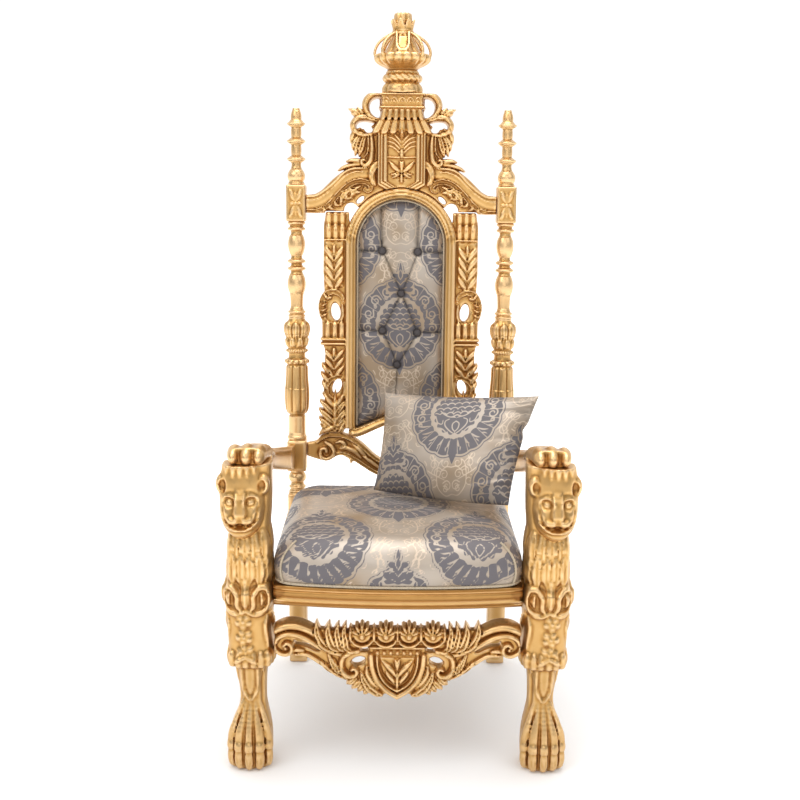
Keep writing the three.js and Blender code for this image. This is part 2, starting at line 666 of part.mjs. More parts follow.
function apron() {
  const y0 = leg_face_y + 14;
  const holes = apron_holes.concat(apron_holes.map((h) => h.map(([x, z]) => [-x, z])));
  const blank = plate(mirrorPoints(apron_outline), y0, y0 + 26, holes);
  const half = [
    band([[286, 330, 22, 14], [262, 352, 24, 16], [214, 348, 22, 14], [160, 312, 18, 10],
      [112, 298, 8, 6]], y0),
    band([[282, 300, 12, 8], [254, 302, 14, 14], [258, 320, 13, 12]], y0),
    band([[236, 296, 10, 8], [208, 302, 15, 10], [152, 256, 14, 9], [122, 236, 12, 8]], y0),
    band([[104, 240, 13, 13], [118, 258, 15, 13], [104, 286, 13, 12], [66, 286, 9, 8]], y0),
    band([[110, 218, 8, 5], [88, 226, 24, 10], [74, 250, 14, 7]], y0),
    band([[36, 186, 10, 8], [50, 204, 20, 13], [84, 232, 6, 4]], y0),
    band([[14, 192, 8, 8], [40, 230, 14, 10], [56, 290, 12, 9]], y0),
    band([[8, 206, 7, 6], [30, 242, 10, 7], [42, 290, 9, 6]], y0),
  ];
  for (const [x, z, dx, dz] of [[150, 330, 28, 36], [128, 326, 22, 40], [108, 324, 8, 38]]) {
    half.push(band([[x, z - 8, 12, 8], [x + dx, z + dz, 8, 6]], y0));
  }
  const middle = [];
  for (const x of [26, 81]) {
    half.push(loft([
      ellipse(x, 340, 22, 15).map(([a, b]) => [a, y0 + 2, b]),
      ellipse(x, 341, 9, 8).map(([a, b]) => [a, y0 - 9, b]),
    ]));
  }
  middle.push(band([[-50, 300, 10, 6], [50, 300, 10, 6]], y0));
  const lower = loft([
    mirrorPoints([[0, 290], [40, 290], [34, 256], [0, 214]]).map(([a, b]) => [a, y0 + 2, b]),
    mirrorPoints([[0, 284], [33, 284], [28, 258], [0, 224]]).map(([a, b]) => [a, y0 - 5, b]),
  ]);
  const bud = both(band([[-1, 232, 5, 3], [19, 260, 12, 6], [30, 276, 4, 2]], y0 - 3));
  const reach = (leg_inner - clearance) / 288;
  return join([blank, both(join(half)), ...middle, lower, bud]).scale([reach, 1, low_up]);
}

// Loose pillow resting on the seat, against the back and the arm
function pillow() {
  const wide = 205;
  const high = 138;
  const thick = 46;
  const rings = [];
  const lines = [[0.97, 0.16], [0.82, 0.6], [0.5, 0.9], [0.2, 0.98]];
  const rim = [];
  const n = 4;
  for (const [ax, az, bx, bz] of [[-1, -1, 1, -1], [1, -1, 1, 1], [1, 1, -1, 1], [-1, 1, -1, -1]]) {
    for (let i = 0; i < n; i += 1) {
      const t = i / n;
      const dip = 1 - 0.07 * Math.sin(Math.PI * t);
      const x = ax + (bx - ax) * t;
      const z = az + (bz - az) * t;
      rim.push([Math.abs(ax - bx) < 1 ? x * dip : x, Math.abs(az - bz) < 1 ? z * dip : z]);
    }
  }
  const all = [...lines.slice().reverse().map(([s, v]) => [s, v]), [1, 0], ...lines.map(([s, v]) => [s, -v])];
  for (const [s, v] of all) {
    rings.push(rim.map(([x, z]) => [x * wide * s, v * thick, z * high * s]));
  }
  return loft(rings)
    .rotate([0, -3, 0])
    .rotate([-24, 0, 0])
    .rotate([0, 0, -20])
    .translate([126, 50, rail_top + 252]);
}

function placeLeg(solid) {
  return solid.translate([leg_x, 0, 0]);
}

const parts = [];
const post = rearPost();
parts.push([post.translate([-post_x, 0, 0]), "left_rear_post", gold]);
parts.push([mirrored(post.translate([-post_x, 0, 0])), "right_rear_post", gold]);
parts.push([crest(), "crest", gold]);
parts.push([crown(), "crown_finial", gold]);
parts.push([backFrame(), "back_frame", gold]);
parts.push([backBoard(), "back_board", gold]);
parts.push([lowerRail(), "lower_rail", gold]);
parts.push([backPad(), "back_pad", fabric]);
pad_buttons.forEach((p, i) => parts.push([backButton(p), `back_button_${i + 1}`, fabric]));
const leg = placeLeg(lionLeg());
parts.push([mirrored(leg), "left_front_leg", gold]);
parts.push([leg, "right_front_leg", gold]);
const hand = placeLeg(arm());
parts.push([mirrored(hand), "left_arm", gold]);
parts.push([hand, "right_arm", gold]);
parts.push([frontRail(), "front_rail", gold]);
parts.push([mirrored(sideRail()), "left_side_rail", gold]);
parts.push([sideRail(), "right_side_rail", gold]);
parts.push([rearRail(), "rear_rail", gold]);
parts.push([seatCushion(), "seat_cushion", fabric]);
parts.push([seatPiping(), "seat_piping", cord]);
parts.push([apron(), "front_stretcher", gold]);
parts.push([pillow(), "pillow", fabric]);

// Centre the footprint on the origin
const limits = parts.map(([solid]) => solid.boundingBox());
const front = Math.min(...limits.map((b) => b.min[1]));
const behind = Math.max(...limits.map((b) => b.max[1]));
const shift = -(front + behind) / 2;

const throne = new THREE.Group();
throne.name = "throne";
for (const [solid, name, look] of parts) {
  throne.add(toMesh(solid.translate([0, shift, 0]), name, look));
}

export default throne;
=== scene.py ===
"""Looks of the carved gilt throne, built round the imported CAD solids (metres, +Z up)."""

import bpy  # noqa: E402
import math  # noqa: E402
import numpy as np  # noqa: E402
from mathutils import Matrix, Vector  # noqa: E402


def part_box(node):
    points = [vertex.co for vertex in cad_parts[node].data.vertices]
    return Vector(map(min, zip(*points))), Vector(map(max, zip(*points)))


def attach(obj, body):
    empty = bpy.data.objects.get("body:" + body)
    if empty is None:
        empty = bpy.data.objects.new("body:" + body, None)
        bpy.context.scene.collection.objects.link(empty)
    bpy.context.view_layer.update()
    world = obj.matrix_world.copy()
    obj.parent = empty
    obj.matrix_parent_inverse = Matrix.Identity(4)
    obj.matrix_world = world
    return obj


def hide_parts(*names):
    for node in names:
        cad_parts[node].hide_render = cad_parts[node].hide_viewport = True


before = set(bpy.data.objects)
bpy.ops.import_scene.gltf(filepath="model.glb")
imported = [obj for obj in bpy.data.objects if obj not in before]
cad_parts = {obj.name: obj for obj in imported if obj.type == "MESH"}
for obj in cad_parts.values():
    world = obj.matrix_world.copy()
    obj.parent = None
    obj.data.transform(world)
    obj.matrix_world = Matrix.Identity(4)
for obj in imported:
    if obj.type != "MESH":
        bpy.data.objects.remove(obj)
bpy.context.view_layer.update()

bl_info = {"name": "Carved Throne", "version": (1, 0, 0), "blender": (4, 5, 0),
    "location": "View3D > Sidebar > Throne",
    "description": "Builds the looks of a carved gilt throne round its CAD solids", "category": "Object",}

MM = 0.001
SIDE_RAIL_FRONT = -198.0   # where the side rails start in the drawing, whose lengths are in mm
SHIFT_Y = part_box("left_side_rail")[0].y / MM - SIDE_RAIL_FRONT
RAIL_TOP = 462.0
POST_X = 283.0
POST_Y = 295.0
LEG_X = 350.0
FACE_Y = -304.0
RECLINE = math.radians(3.86)
ARCH_Z = 1196.0
ARCH_IN = 121.0
ARCH_OUT = 150.0
BOARD_CELL = 2.6   # mesh cell of the crest, lower rail and crown
STILE_CELL = 3.0
FINE_CELL = 2.4   # apron and post panels
LION_CELL = 2.85   # lions and arms
PAD_CELL = 2.1
FACE_CELL = 1.6
FOCAL_PIXELS, PHOTO_PIXELS, SENSOR = 1151.47, 800, 36.0
EYE = (-0.0084, -2.8002, 1.4715)   # camera place, metres
CAMERA_TURNS = (12.7362, -0.1928, 0.5911)   # degrees down, round and rolled


def spline(rows, per=8):
    """Catmull-Rom curve through rows of numbers: 0.5(2b+(c-a)t+(2a-5b+4c-d)t2+(3b-3c+d-a)t3)."""
    p = np.asarray(rows, float)
    if len(p) == 2:
        t = np.linspace(0, 1, per + 1)[:, None]
        return p[0] * (1 - t) + p[1] * t
    q = np.vstack([2 * p[0] - p[1], p, 2 * p[-1] - p[-2]])
    t = np.linspace(0, 1, per, endpoint=False)[:, None]
    a, b, c, d = (q[i:len(p) - 1 + i, None, :] for i in range(4))
    curve = 0.5 * (2 * b + (c - a) * t + (2 * a - 5 * b + 4 * c - d) * t**2 + (3 * b - a - 3 * c + d)
        * t**3)
    return np.vstack([curve.reshape(-1, p.shape[1]), p[-1:]])


def smooth(lo, hi, x):
    """0 below lo, 1 above hi, 3t2-2t3 between."""
    t = np.clip((x - lo) / (hi - lo), 0, 1)
    return t * t * (3 - 2 * t)


def soft_min(a, b, k):
    """Smooth smaller of two distances, blended over k."""
    h = np.clip(0.5 + 0.5 * (b - a) / k, 0, 1)
    return b * (1 - h) + a * h - k * h * (1 - h)


def polygon_distance(x, z, points):
    """Signed distance to a closed outline, negative inside."""
    p = np.asarray(points, float)
    best = np.full(x.shape, 1e9)
    inside = np.zeros(x.shape, bool)
    for (ax, az), (bx, bz) in zip(p, np.roll(p, -1, 0)):
        dx, dz = bx - ax, bz - az
        t = np.clip(((x - ax) * dx + (z - az) * dz) / max(dx * dx + dz * dz, 1e-9), 0, 1)
        best = np.minimum(best, (x - ax - t * dx) ** 2 + (z - az - t * dz) ** 2)
        if dz:
            inside ^= ((az > z) != (bz > z)) & (x < dx * (z - az) / dz + ax)
    return np.where(inside, -1, 1) * np.sqrt(best)


PROFILES = {
    # place across the stroke from -1 to 1, then the share of its height there
    "round": ([-1, -0.9, -0.7, -0.4, 0, 0.4, 0.7, 0.9, 1],
        [0, 0.44, 0.71, 0.92, 1, 0.92, 0.71, 0.44, 0]),
    "leaf": ([-1, -0.85, -0.5, -0.14, 0, 0.14, 0.5, 0.85, 1],
        [0, 0.55, 0.95, 0.8, 0.42, 0.8, 0.95, 0.55, 0]),
    "scroll": ([-1, -0.88, -0.62, -0.5, -0.3, 0, 0.3, 0.5, 0.62, 0.88, 1],
        [0, 0.75, 0.85, 0.35, 0.3, 0.42, 0.3, 0.35, 0.85, 0.75, 0]),
    "cove": ([-1, -0.92, -0.74, -0.66, -0.3, 0.1, 0.5, 0.66, 0.78, 0.94, 1],
        [0, 0.7, 0.8, 0.35, 0.75, 1, 0.8, 0.45, 0.8, 0.6, 0]),
    "flat": ([-1, -0.8, 0.8, 1], [0, 1, 1, 0]),
}
VEIN_WIDTH = 17.0   # a leaf narrower than this is carved without its middle vein


class Relief:
    """Carving over a plane: x to the right, z up, in mm. top is its height, edge the signed outline."""

    def __init__(self, x0, x1, z0, z1, step):
        """Level ground on a grid of cells; edge starts well outside any board."""
        self.step = step
        self.x = np.arange(x0, x1 + step, step)
        self.z = np.arange(z0, z1 + step, step)
        self.X, self.Z = np.meshgrid(self.x, self.z, indexing="ij")
        self.top = np.zeros(self.X.shape)
        self.edge = np.full(self.X.shape, 50.0)

    def near(self, points, reach):
        """Part of the grid within reach of the points."""
        lo = np.min(points, 0) - reach
        hi = np.max(points, 0) + reach
        i = np.searchsorted(self.x, [lo[0], hi[0]])
        j = np.searchsorted(self.z, [lo[1], hi[1]])
        return slice(*i), slice(*j)

    def stroke(self, rows, kind="round", solid=True, lay=False, per=8):
        """Band along a curve with rows [x, z, width, height]: height * profile(place across)."""
        c = spline(rows, per)
        if kind == "leaf" and c[:, 2].max() < VEIN_WIDTH:
            kind = "round"
        p, w, h = c[:, :2], np.maximum(c[:, 2] / 2, 0.4), c[:, 3]
        win = self.near(p, w.max() + 3)
        x, z = self.X[win], self.Z[win]
        if not x.size:
            return self
        best = np.full(x.shape, 1e9)
        side = np.zeros(x.shape)
        wide = np.ones(x.shape)
        high = np.zeros(x.shape)
        for k in range(len(p) - 1):
            dx, dz = p[k + 1] - p[k]
            t = np.clip(((x - p[k, 0]) * dx + (z - p[k, 1]) * dz) / max(dx * dx + dz * dz, 1e-9), 0, 1)
            ex, ez = x - p[k, 0] - t * dx, z - p[k, 1] - t * dz
            ww = w[k] + (w[k + 1] - w[k]) * t
            u = np.hypot(ex, ez) / ww
            m = u < best
            best = np.where(m, u, best)
            side = np.where(m, np.sign(dx * ez - dz * ex) * u, side)
            wide = np.where(m, ww, wide)
            high = np.where(m, h[k] + (h[k + 1] - h[k]) * t, high)
        value = high * np.interp(side, *PROFILES[kind])
        inside = best < 1
        top = self.top[win]
        if lay:
            top = np.where(inside, value + 0.35 * top * (best < 0.9), top)
        else:
            top = np.where(inside, np.maximum(top, value), top)
        self.top[win] = top
        if solid:
            self.edge[win] = np.minimum(self.edge[win], (best - 1) * wide)
        return self

    def leaf(self, rows):
        """Leaf laid over what is there, its outline added to the board."""
        return self.stroke(rows, "leaf", lay=True)

    def inner_leaf(self, rows):
        """Leaf laid over what is there, inside the board's outline."""
        return self.stroke(rows, "leaf", solid=False, lay=True)

    def roll(self, rows):
        """Round roll laid over what is there, its outline added to the board."""
        return self.stroke(rows, lay=True)

    def inner_roll(self, rows):
        """Round roll laid over what is there, inside the board's outline."""
        return self.stroke(rows, solid=False, lay=True)

    def line(self, rows, per=8):
        """Round line raised out of what is there, inside the board's outline."""
        return self.stroke(rows, solid=False, per=per)

    def groove(self, rows, per=8):
        """Cut line with rows [x, z, width, depth]."""
        keep = self.top.copy()
        self.top[:] = 0
        self.stroke(rows, "round", solid=False, per=per)
        self.top[:] = keep - self.top
        return self

    def outline(self, points):
        """Adds the area inside straight-edged points to the board."""
        self.edge = np.minimum(self.edge, polygon_distance(self.X, self.Z, points))
        return self

    def hole(self, x, z, a, b, tilt=0.0):
        """Elliptical opening."""
        u = (self.X - x) * math.cos(tilt) + (self.Z - z) * math.sin(tilt)
        v = -(self.X - x) * math.sin(tilt) + (self.Z - z) * math.cos(tilt)
        d = (np.hypot(u / a, v / b) - 1) * min(a, b)
        self.edge = np.maximum(self.edge, -d)
        return self

    def cut(self, points, per):
        """Opening inside a closed curve through the points."""
        pts = spline(list(points) + [points[0]], per)[:-1]
        self.edge = np.maximum(self.edge, -polygon_distance(self.X, self.Z, pts))
        return self

    def raised(self, points, height, bevel):
        """Flat area at a height inside the points, with a bevelled border."""
        m = smooth(0, bevel, -polygon_distance(self.X, self.Z, points))
        self.top = self.top * (1 - m) + height * m
        return self

    def flower(self, x, z, reach, height, petals=5, turn=0.0):
        """Petals height*sqrt(1-(r/edge)^2) with edge = reach*(0.7+0.3|cos|^0.7), and a round bud."""
        r = np.hypot(self.X - x, self.Z - z)
        a = np.arctan2(self.Z - z, self.X - x) + turn
        lobe = np.abs(np.cos(a * petals / 2))
        edge = reach * (0.7 + 0.3 * lobe**0.7)
        body = height * np.sqrt(np.clip(1 - (r / edge) ** 2, 0, 1)) * (0.62 + 0.38 * lobe) * smooth(0, 0.5,
            r / reach)
        bud = height * 1.05 * np.sqrt(np.clip(1 - (r / (reach * 0.3)) ** 2, 0, 1))
        self.top = np.where(r < edge, np.maximum(self.top * 0.3, np.maximum(body, bud)), self.top)
        return self

    def tongues(self, z0, z1, half0, half1, count, base, height, vein=0.0):
        """Row of round-ended tongues hanging from z0 to z1: base + height*|cos|, half0 to half1 wide."""
        t = (z0 - self.Z) / (z0 - z1)
        half = half0 + (half1 - half0) * np.clip(t, 0, 1)
        turn = self.X / half * count / 2
        lobe = np.abs(np.cos(np.pi * turn))
        end = 0.72 + 0.28 * lobe**0.7
        m = smooth(0, 0.14, end - t) * smooth(-0.04, 0.04, t) * smooth(-1.5, 2.5, half - np.abs(self.X))
        middle = np.exp(-((turn - np.round(turn)) / 0.13) ** 2)
        value = base + height * lobe**0.6 - vein * middle
        self.top = self.top * (1 - m) + value * m
        return self

    def bead(self, x, z, r, height):
        """Half ball: height*sqrt(1-(d/r)^2)."""
        d = np.hypot(self.X - x, self.Z - z)
        self.top = np.maximum(self.top, height * np.sqrt(np.clip(1 - (d / r) ** 2, 0, 1)))
        self.edge = np.minimum(self.edge, d - r)
        return self


def skin(field, origin, step):
    """Closed quads where field is zero, negative inside: each cell's point is its crossings' mean."""
    field = np.pad(field, 1, constant_values=9.0)
    origin = np.asarray(origin, float) - step
    s = field < 0
    total = sum(s[a:s.shape[0] - 1 + a, b:s.shape[1] - 1 + b, c:s.shape[2] - 1 + c].astype(np.int8)
        for a in (0, 1) for b in (0, 1) for c in (0, 1))
    active = (total > 0) & (total < 8)
    number = np.full(active.shape, -1, np.int64)
    cells = np.argwhere(active)
    number[active] = np.arange(len(cells))
    i, j, k = cells.T
    place = np.zeros((len(cells), 3))
    count = np.zeros(len(cells))
    for axis in range(3):
        for u in (0, 1):
            for v in (0, 1):
                a = np.insert([u, v], axis, 0)
                b = np.insert([u, v], axis, 1)
                fa = field[i + a[0], j + a[1], k + a[2]]
                fb = field[i + b[0], j + b[1], k + b[2]]
                m = (fa < 0) != (fb < 0)
                t = np.where(m, fa / np.where(m, fa - fb, 1), 0)
                place += np.where(m[:, None], a + t[:, None] * (b - a), 0)
                count += m
    verts = (cells + place / count[:, None]) * step + origin
    quads = []
    for axis in range(3):
        lo = [slice(1, -1)] * 3
        hi = [slice(1, -1)] * 3
        lo[axis], hi[axis] = slice(0, -1), slice(1, None)
        a, b = s[tuple(lo)], s[tuple(hi)]
        for m, turn in ((a & ~b, 1), (~a & b, -1)):
            at = np.argwhere(m) + [0 if n == axis else 1 for n in range(3)]
            p, q = (axis + 1) % 3, (axis + 2) % 3
            ring = []
            for dp, dq in ((1, 1), (0, 1), (0, 0), (1, 0))[::turn]:
                c = at.copy()
                c[:, p] -= dp
                c[:, q] -= dq
                ring.append(number[c[:, 0], c[:, 1], c[:, 2]])
            quads.append(np.stack(ring, 1))
    return verts, np.vstack(quads)


def neighbour_mean(faces, values):
    """Mean of the values at the ends of each point's edges."""
    a = faces.ravel()
    b = np.roll(faces, -1, 1).ravel()
    n = len(values)
    weight = np.bincount(a, minlength=n) + np.bincount(b, minlength=n)
    out = np.stack([np.bincount(a, values[b, c], n) + np.bincount(b, values[a, c],
        n) for c in range(values.shape[1])], 1)
    return out / np.maximum(weight, 1)[:, None]


def relax(verts, faces, rounds):
    """Each round moves a point half of the way to its neighbours' mean, then a quarter back."""
    for _ in range(rounds):
        verts = verts + 0.5 * (neighbour_mean(faces, verts) - verts)
        verts = verts - 0.25 * (neighbour_mean(faces, verts) - verts)
    return verts


def point_normals(verts, faces):
    """Unit sum of the normals of the quads round each point: a quad's is its diagonals' cross product."""
    a, b, c, d = (verts[faces[:, n]] for n in range(4))
    n = np.cross(c - a, d - b)
    out = np.stack([sum(np.bincount(faces[:, k], n[:, c], len(verts)) for k in range(4)) for c in range(3)],
        1)
    return out / np.maximum(np.linalg.norm(out, axis=1), 1e-12)[:, None]


def hollows(verts, faces):
    """How sunk each point is, the mask of the gilt's painted shade and painted highlight: its neighbours'
    mean height along its normal, over the edge length.
    """
    n = point_normals(verts, faces)
    size = np.median(np.linalg.norm(verts[faces[:, 0]] - verts[faces[:, 1]], axis=1))
    near = ((neighbour_mean(faces, verts) - verts) * n).sum(1)[:, None] / size
    for _ in range(3):
        near = 0.5 * near + 0.5 * neighbour_mean(faces, near)
    return near[:, 0]


def grid_faces(rows, cols):
    """Quads over a rows x cols grid of points, closed round the columns."""
    r = np.arange(rows - 1)[:, None]
    c = np.arange(cols)[None, :]
    a = r * cols + c
    b = r * cols + (c + 1) % cols
    return np.stack([a, b, b + cols, a + cols], -1).reshape(-1, 4)


def tube(rings):
    """Closed skin over equal rings; two shrunken copies and a fan of thin quads cap each end."""
    m = rings.shape[1]
    first = np.repeat(rings[0].mean(0)[None, None], m, 1)
    last = np.repeat(rings[-1].mean(0)[None, None], m, 1)
    rings = np.concatenate([rings[:1] * 0.02 + first * 0.98, rings[:1] * 0.5 + first * 0.5, rings,
        rings[-1:] * 0.5 + last * 0.5, rings[-1:] * 0.02 + last * 0.98])
    verts = np.vstack([rings.reshape(-1, 3), first[0, :1], last[0, :1]])
    k = np.arange(0, m, 2)
    low = np.stack([np.full(len(k), len(verts) - 2), (k + 2) % m, (k + 1) % m, k], 1)
    base = (len(rings) - 1) * m
    high = np.stack([np.full(len(k), len(verts) - 1), base + k, base + (k + 1) % m, base + (k + 2) % m], 1)
    return verts, np.vstack([grid_faces(len(rings), m), low, high])


def joined(parts):
    """Several closed skins as one list of points and one of faces."""
    verts, faces, start = [], [], 0
    for v, f in parts:
        verts.append(v)
        faces.append(f + start)
        start += len(v)
    return np.vstack(verts), np.vstack(faces)


def mirror(verts, faces):
    """The same skin on the other side: x turned round and the faces with it."""
    return verts * [-1, 1, 1], faces[:, ::-1]


def lean(verts):
    """Upright back plane to the reclined one, turned about the seat rail at the posts."""
    x, y, z = verts.T
    s, c = math.sin(RECLINE), math.cos(RECLINE)
    up = z - RAIL_TOP
    return np.stack([x, POST_Y + y * c + up * s, RAIL_TOP + up * c - y * s], 1)


def add_piece(name, verts, faces, material, nodes=(), slot="gilt", fields=None, fill=None):
    """Mesh object at the origin with its place in its points, riding on the one body."""
    mesh = bpy.data.meshes.new(name)
    co = (verts + [0, SHIFT_Y, 0]) * MM
    mesh.vertices.add(len(co))
    mesh.vertices.foreach_set("co", co.astype(np.float32).ravel())
    mesh.loops.add(faces.size)
    mesh.loops.foreach_set("vertex_index", faces.astype(np.int32).ravel())
    mesh.polygons.add(len(faces))
    mesh.polygons.foreach_set("loop_start", np.arange(0, faces.size, faces.shape[1], dtype=np.int32))
    mesh.polygons.foreach_set("use_smooth", np.ones(len(faces), bool))
    mesh.update(calc_edges=True)
    if mesh.validate(verbose=False):
        print("mended mesh", name)
    if fields is None:
        # sunk measure, read by the gilt as painted shade in the hollows and painted highlight on the ridges
        fields = {"relief_shading": hollows(verts, faces)}
    for key, values in fields.items():
        mesh.attributes.new(key, "FLOAT", "POINT").data.foreach_set("value", values.astype(np.float32))
    obj = bpy.data.objects.new(name, mesh)
    bpy.context.scene.collection.objects.link(obj)
    mesh.materials.append(material)
    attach(obj, "root")
    if nodes:
        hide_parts(*nodes)
    return obj


def plate_mesh(relief, front, back, edge_round=5.0, rounds=1):
    """Carved board, mirrored at x = 0: front face at -(front + top), plain back, both edges rounded."""
    h = relief.step
    top = np.concatenate([relief.top[:0:-1], relief.top])
    edge = np.concatenate([relief.edge[:0:-1], relief.edge])
    t = np.arange(-(front + top.max() + 4), back + 6, h)
    inner = np.clip(-edge, 0, edge_round)
    drop = edge_round - np.sqrt(np.maximum(edge_round**2 - (edge_round - inner) ** 2, 0))
    face = front + top - drop
    rear = back - drop * 0.7
    field = np.maximum(-t[None, :, None] - face[:, None, :], t[None, :, None] - rear[:, None, :])
    slope = np.hypot(*np.gradient(face, h))
    field = field / np.sqrt(1 + np.clip(slope, 0, 2)[:, None, :] ** 2)
    field = np.maximum(field, edge[:, None, :])
    verts, faces = skin(field.astype(np.float32), (-relief.x[-1], t[0], relief.z[0]), h)
    return relax(verts, faces, rounds), faces


def shader(name):
    """New material with its node tree and its main shader."""
    mat = bpy.data.materials.new(name)
    mat.use_nodes = True
    tree = mat.node_tree
    return mat, tree, tree.nodes["Principled BSDF"]


def link(tree, a, b):
    """Joins an output to an input."""
    tree.links.new(a, b)


def node(tree, kind, **settings):
    """New node of a kind with its settings."""
    n = tree.nodes.new(kind)
    for key, value in settings.items():
        setattr(n, key, value)
    return n


def set_inputs(target, **numbers):
    """Sets inputs by name, with _ for a blank: Roughness=0.5."""
    for key, value in numbers.items():
        target.inputs[key.replace("_", " ")].default_value = value


def field_socket(tree, name):
    """Output that reads a number kept at the points."""
    return node(tree, "ShaderNodeAttribute", attribute_name=name).outputs["Fac"]


def speckle(tree, scale, detail=2.0):
    """Output of soft noise fixed to the object."""
    noise = node(tree, "ShaderNodeTexNoise")
    set_inputs(noise, Scale=scale, Detail=detail)
    link(tree, node(tree, "ShaderNodeTexCoord").outputs["Object"], noise.inputs["Vector"])
    return noise.outputs["Fac"]


def stretch(tree, source, low=0.0, high=1.0, first=0.0, last=1.0):
    """Output that carries low..high of a source onto first..last, held at both ends."""
    n = node(tree, "ShaderNodeMapRange")
    set_inputs(n, From_Min=low, From_Max=high, To_Min=first, To_Max=last)
    link(tree, source, n.inputs["Value"])
    return n.outputs["Result"]


def tinted(colour, shares):
    """Colour with each channel times its share, held at 1."""
    return tuple(min(1.0, c * f) for c, f in zip(colour, shares))


def ramp(tree, source, stops):
    """Node that turns a number into a colour between stops (place, colour)."""
    n = tree.nodes.new("ShaderNodeValToRGB")
    while len(n.color_ramp.elements) < len(stops):
        n.color_ramp.elements.new(0.5)
    for e, (at, colour) in zip(n.color_ramp.elements, stops):
        e.position = at
        e.color = (*colour, 1.0)
    link(tree, source, n.inputs["Fac"])
    return n


def gold_material(name, tone):
    """Satin gilt paint with painted shade and painted highlight: darker amber in the hollows, paler on the
    ridges.

    Hollows from -0.12 to 0.12 pick the colour, moved by 0.14*noise - 0.07.
    """
    mat, tree, bsdf = shader(name)
    noise = speckle(tree, 38.0, 5.0)
    sunk = stretch(tree, field_socket(tree, "relief_shading"), -0.12, 0.12)
    mix = node(tree, "ShaderNodeMath", operation="MULTIPLY_ADD")
    mix.inputs[1].default_value = 0.14
    link(tree, noise, mix.inputs[0])
    link(tree, sunk, mix.inputs[2])
    shift = node(tree, "ShaderNodeMath", operation="SUBTRACT")
    shift.inputs[1].default_value = 0.07
    link(tree, mix.outputs[0], shift.inputs[0])
    # the darker stops are painted shade in the hollows, the palest stop is painted highlight on the ridges
    dark = tinted(tone, (0.52, 0.40, 0.28))
    deep = tinted(tone, (0.86, 0.78, 0.64))
    ridge_highlight = tuple(min(1.0, c * f + 0.03) for c, f in zip(tone, (1.24, 1.36, 1.75)))
    tint = ramp(tree, shift.outputs[0], [(0.14, ridge_highlight), (0.44, tone), (0.60, deep), (0.86, dark)])
    link(tree, tint.outputs["Color"], bsdf.inputs["Base Color"])
    link(tree, stretch(tree, noise, first=0.27, last=0.40), bsdf.inputs["Roughness"])
    set_inputs(bsdf, Metallic=0.86, Coat_Weight=0.06, Coat_Roughness=0.25)
    return mat


def damask_material(name, ground_colour, figure_colour):
    """Woven satin: tan to silver ground, grey figure from a distance field, cream lines, fine weave, and
    painted shade from a point field that darkens the colour.
    """
    mat, tree, bsdf = shader(name)
    figure = field_socket(tree, "figure")
    lines = field_socket(tree, "lines")
    stops = [(0.34, tinted(ground_colour, (0.82, 0.72, 0.58))), (0.5, ground_colour),
        (0.66, tinted(ground_colour, (1.12, 1.16, 1.22)))]
    colour = ramp(tree, speckle(tree, 7.0), stops).outputs["Color"]
    cream = tinted(ground_colour, (1.55, 1.50, 1.42))
    yarn = (0.055, 0.045, 0.045)
    woven = stretch(tree, figure, 0.5, -0.5)
    masks = (woven, stretch(tree, lines, 0.5, -0.5), stretch(tree, figure, -30.0, -31.0))
    for mask, shade, share in zip(masks, (figure_colour, cream, yarn), (0.95, 0.85, 1.0)):
        fade = node(tree, "ShaderNodeMath", operation="MULTIPLY")
        fade.inputs[1].default_value = share
        link(tree, mask, fade.inputs[0])
        mix = node(tree, "ShaderNodeMix", data_type="RGBA")
        sockets = {s.identifier: s for s in list(mix.inputs) + list(mix.outputs)}
        sockets["B_Color"].default_value = (*shade, 1)
        link(tree, fade.outputs[0], sockets["Factor_Float"])
        link(tree, colour, sockets["A_Color"])
        colour = sockets["Result_Color"]
    # painted shade: the colour scaled down from 1 to 0.12 by the shade kept at the points
    shade = node(tree, "ShaderNodeVectorMath", operation="SCALE")
    link(tree, colour, shade.inputs[0])
    link(tree, stretch(tree, field_socket(tree, "painted_shade"), first=1.0, last=0.12), shade.inputs["Scale"])
    link(tree, shade.outputs["Vector"], bsdf.inputs["Base Color"])
    link(tree, stretch(tree, woven, first=0.44, last=0.58), bsdf.inputs["Roughness"])
    link(tree, stretch(tree, woven, first=0.42, last=0.12), bsdf.inputs["Metallic"])
    set_inputs(bsdf, Sheen_Weight=0.06, Sheen_Roughness=0.4)
    bump = node(tree, "ShaderNodeBump")
    set_inputs(bump, Strength=0.10, Distance=0.001)
    link(tree, speckle(tree, 900.0), bump.inputs["Height"])
    link(tree, bump.outputs["Normal"], bsdf.inputs["Normal"])
    return mat


def plain_material(name, colour, roughness):
    """Matt material of one colour with a fine, slightly darker speckle."""
    mat, tree, bsdf = shader(name)
    tint = ramp(tree, speckle(tree, 160.0), [(0.3, tuple(c * 0.85 for c in colour)), (0.7, colour)])
    link(tree, tint.outputs["Color"], bsdf.inputs["Base Color"])
    set_inputs(bsdf, Roughness=roughness)
    return mat


REPEAT_X = 380.0
REPEAT_Z = 465.0
TILE_CELL = 1.3


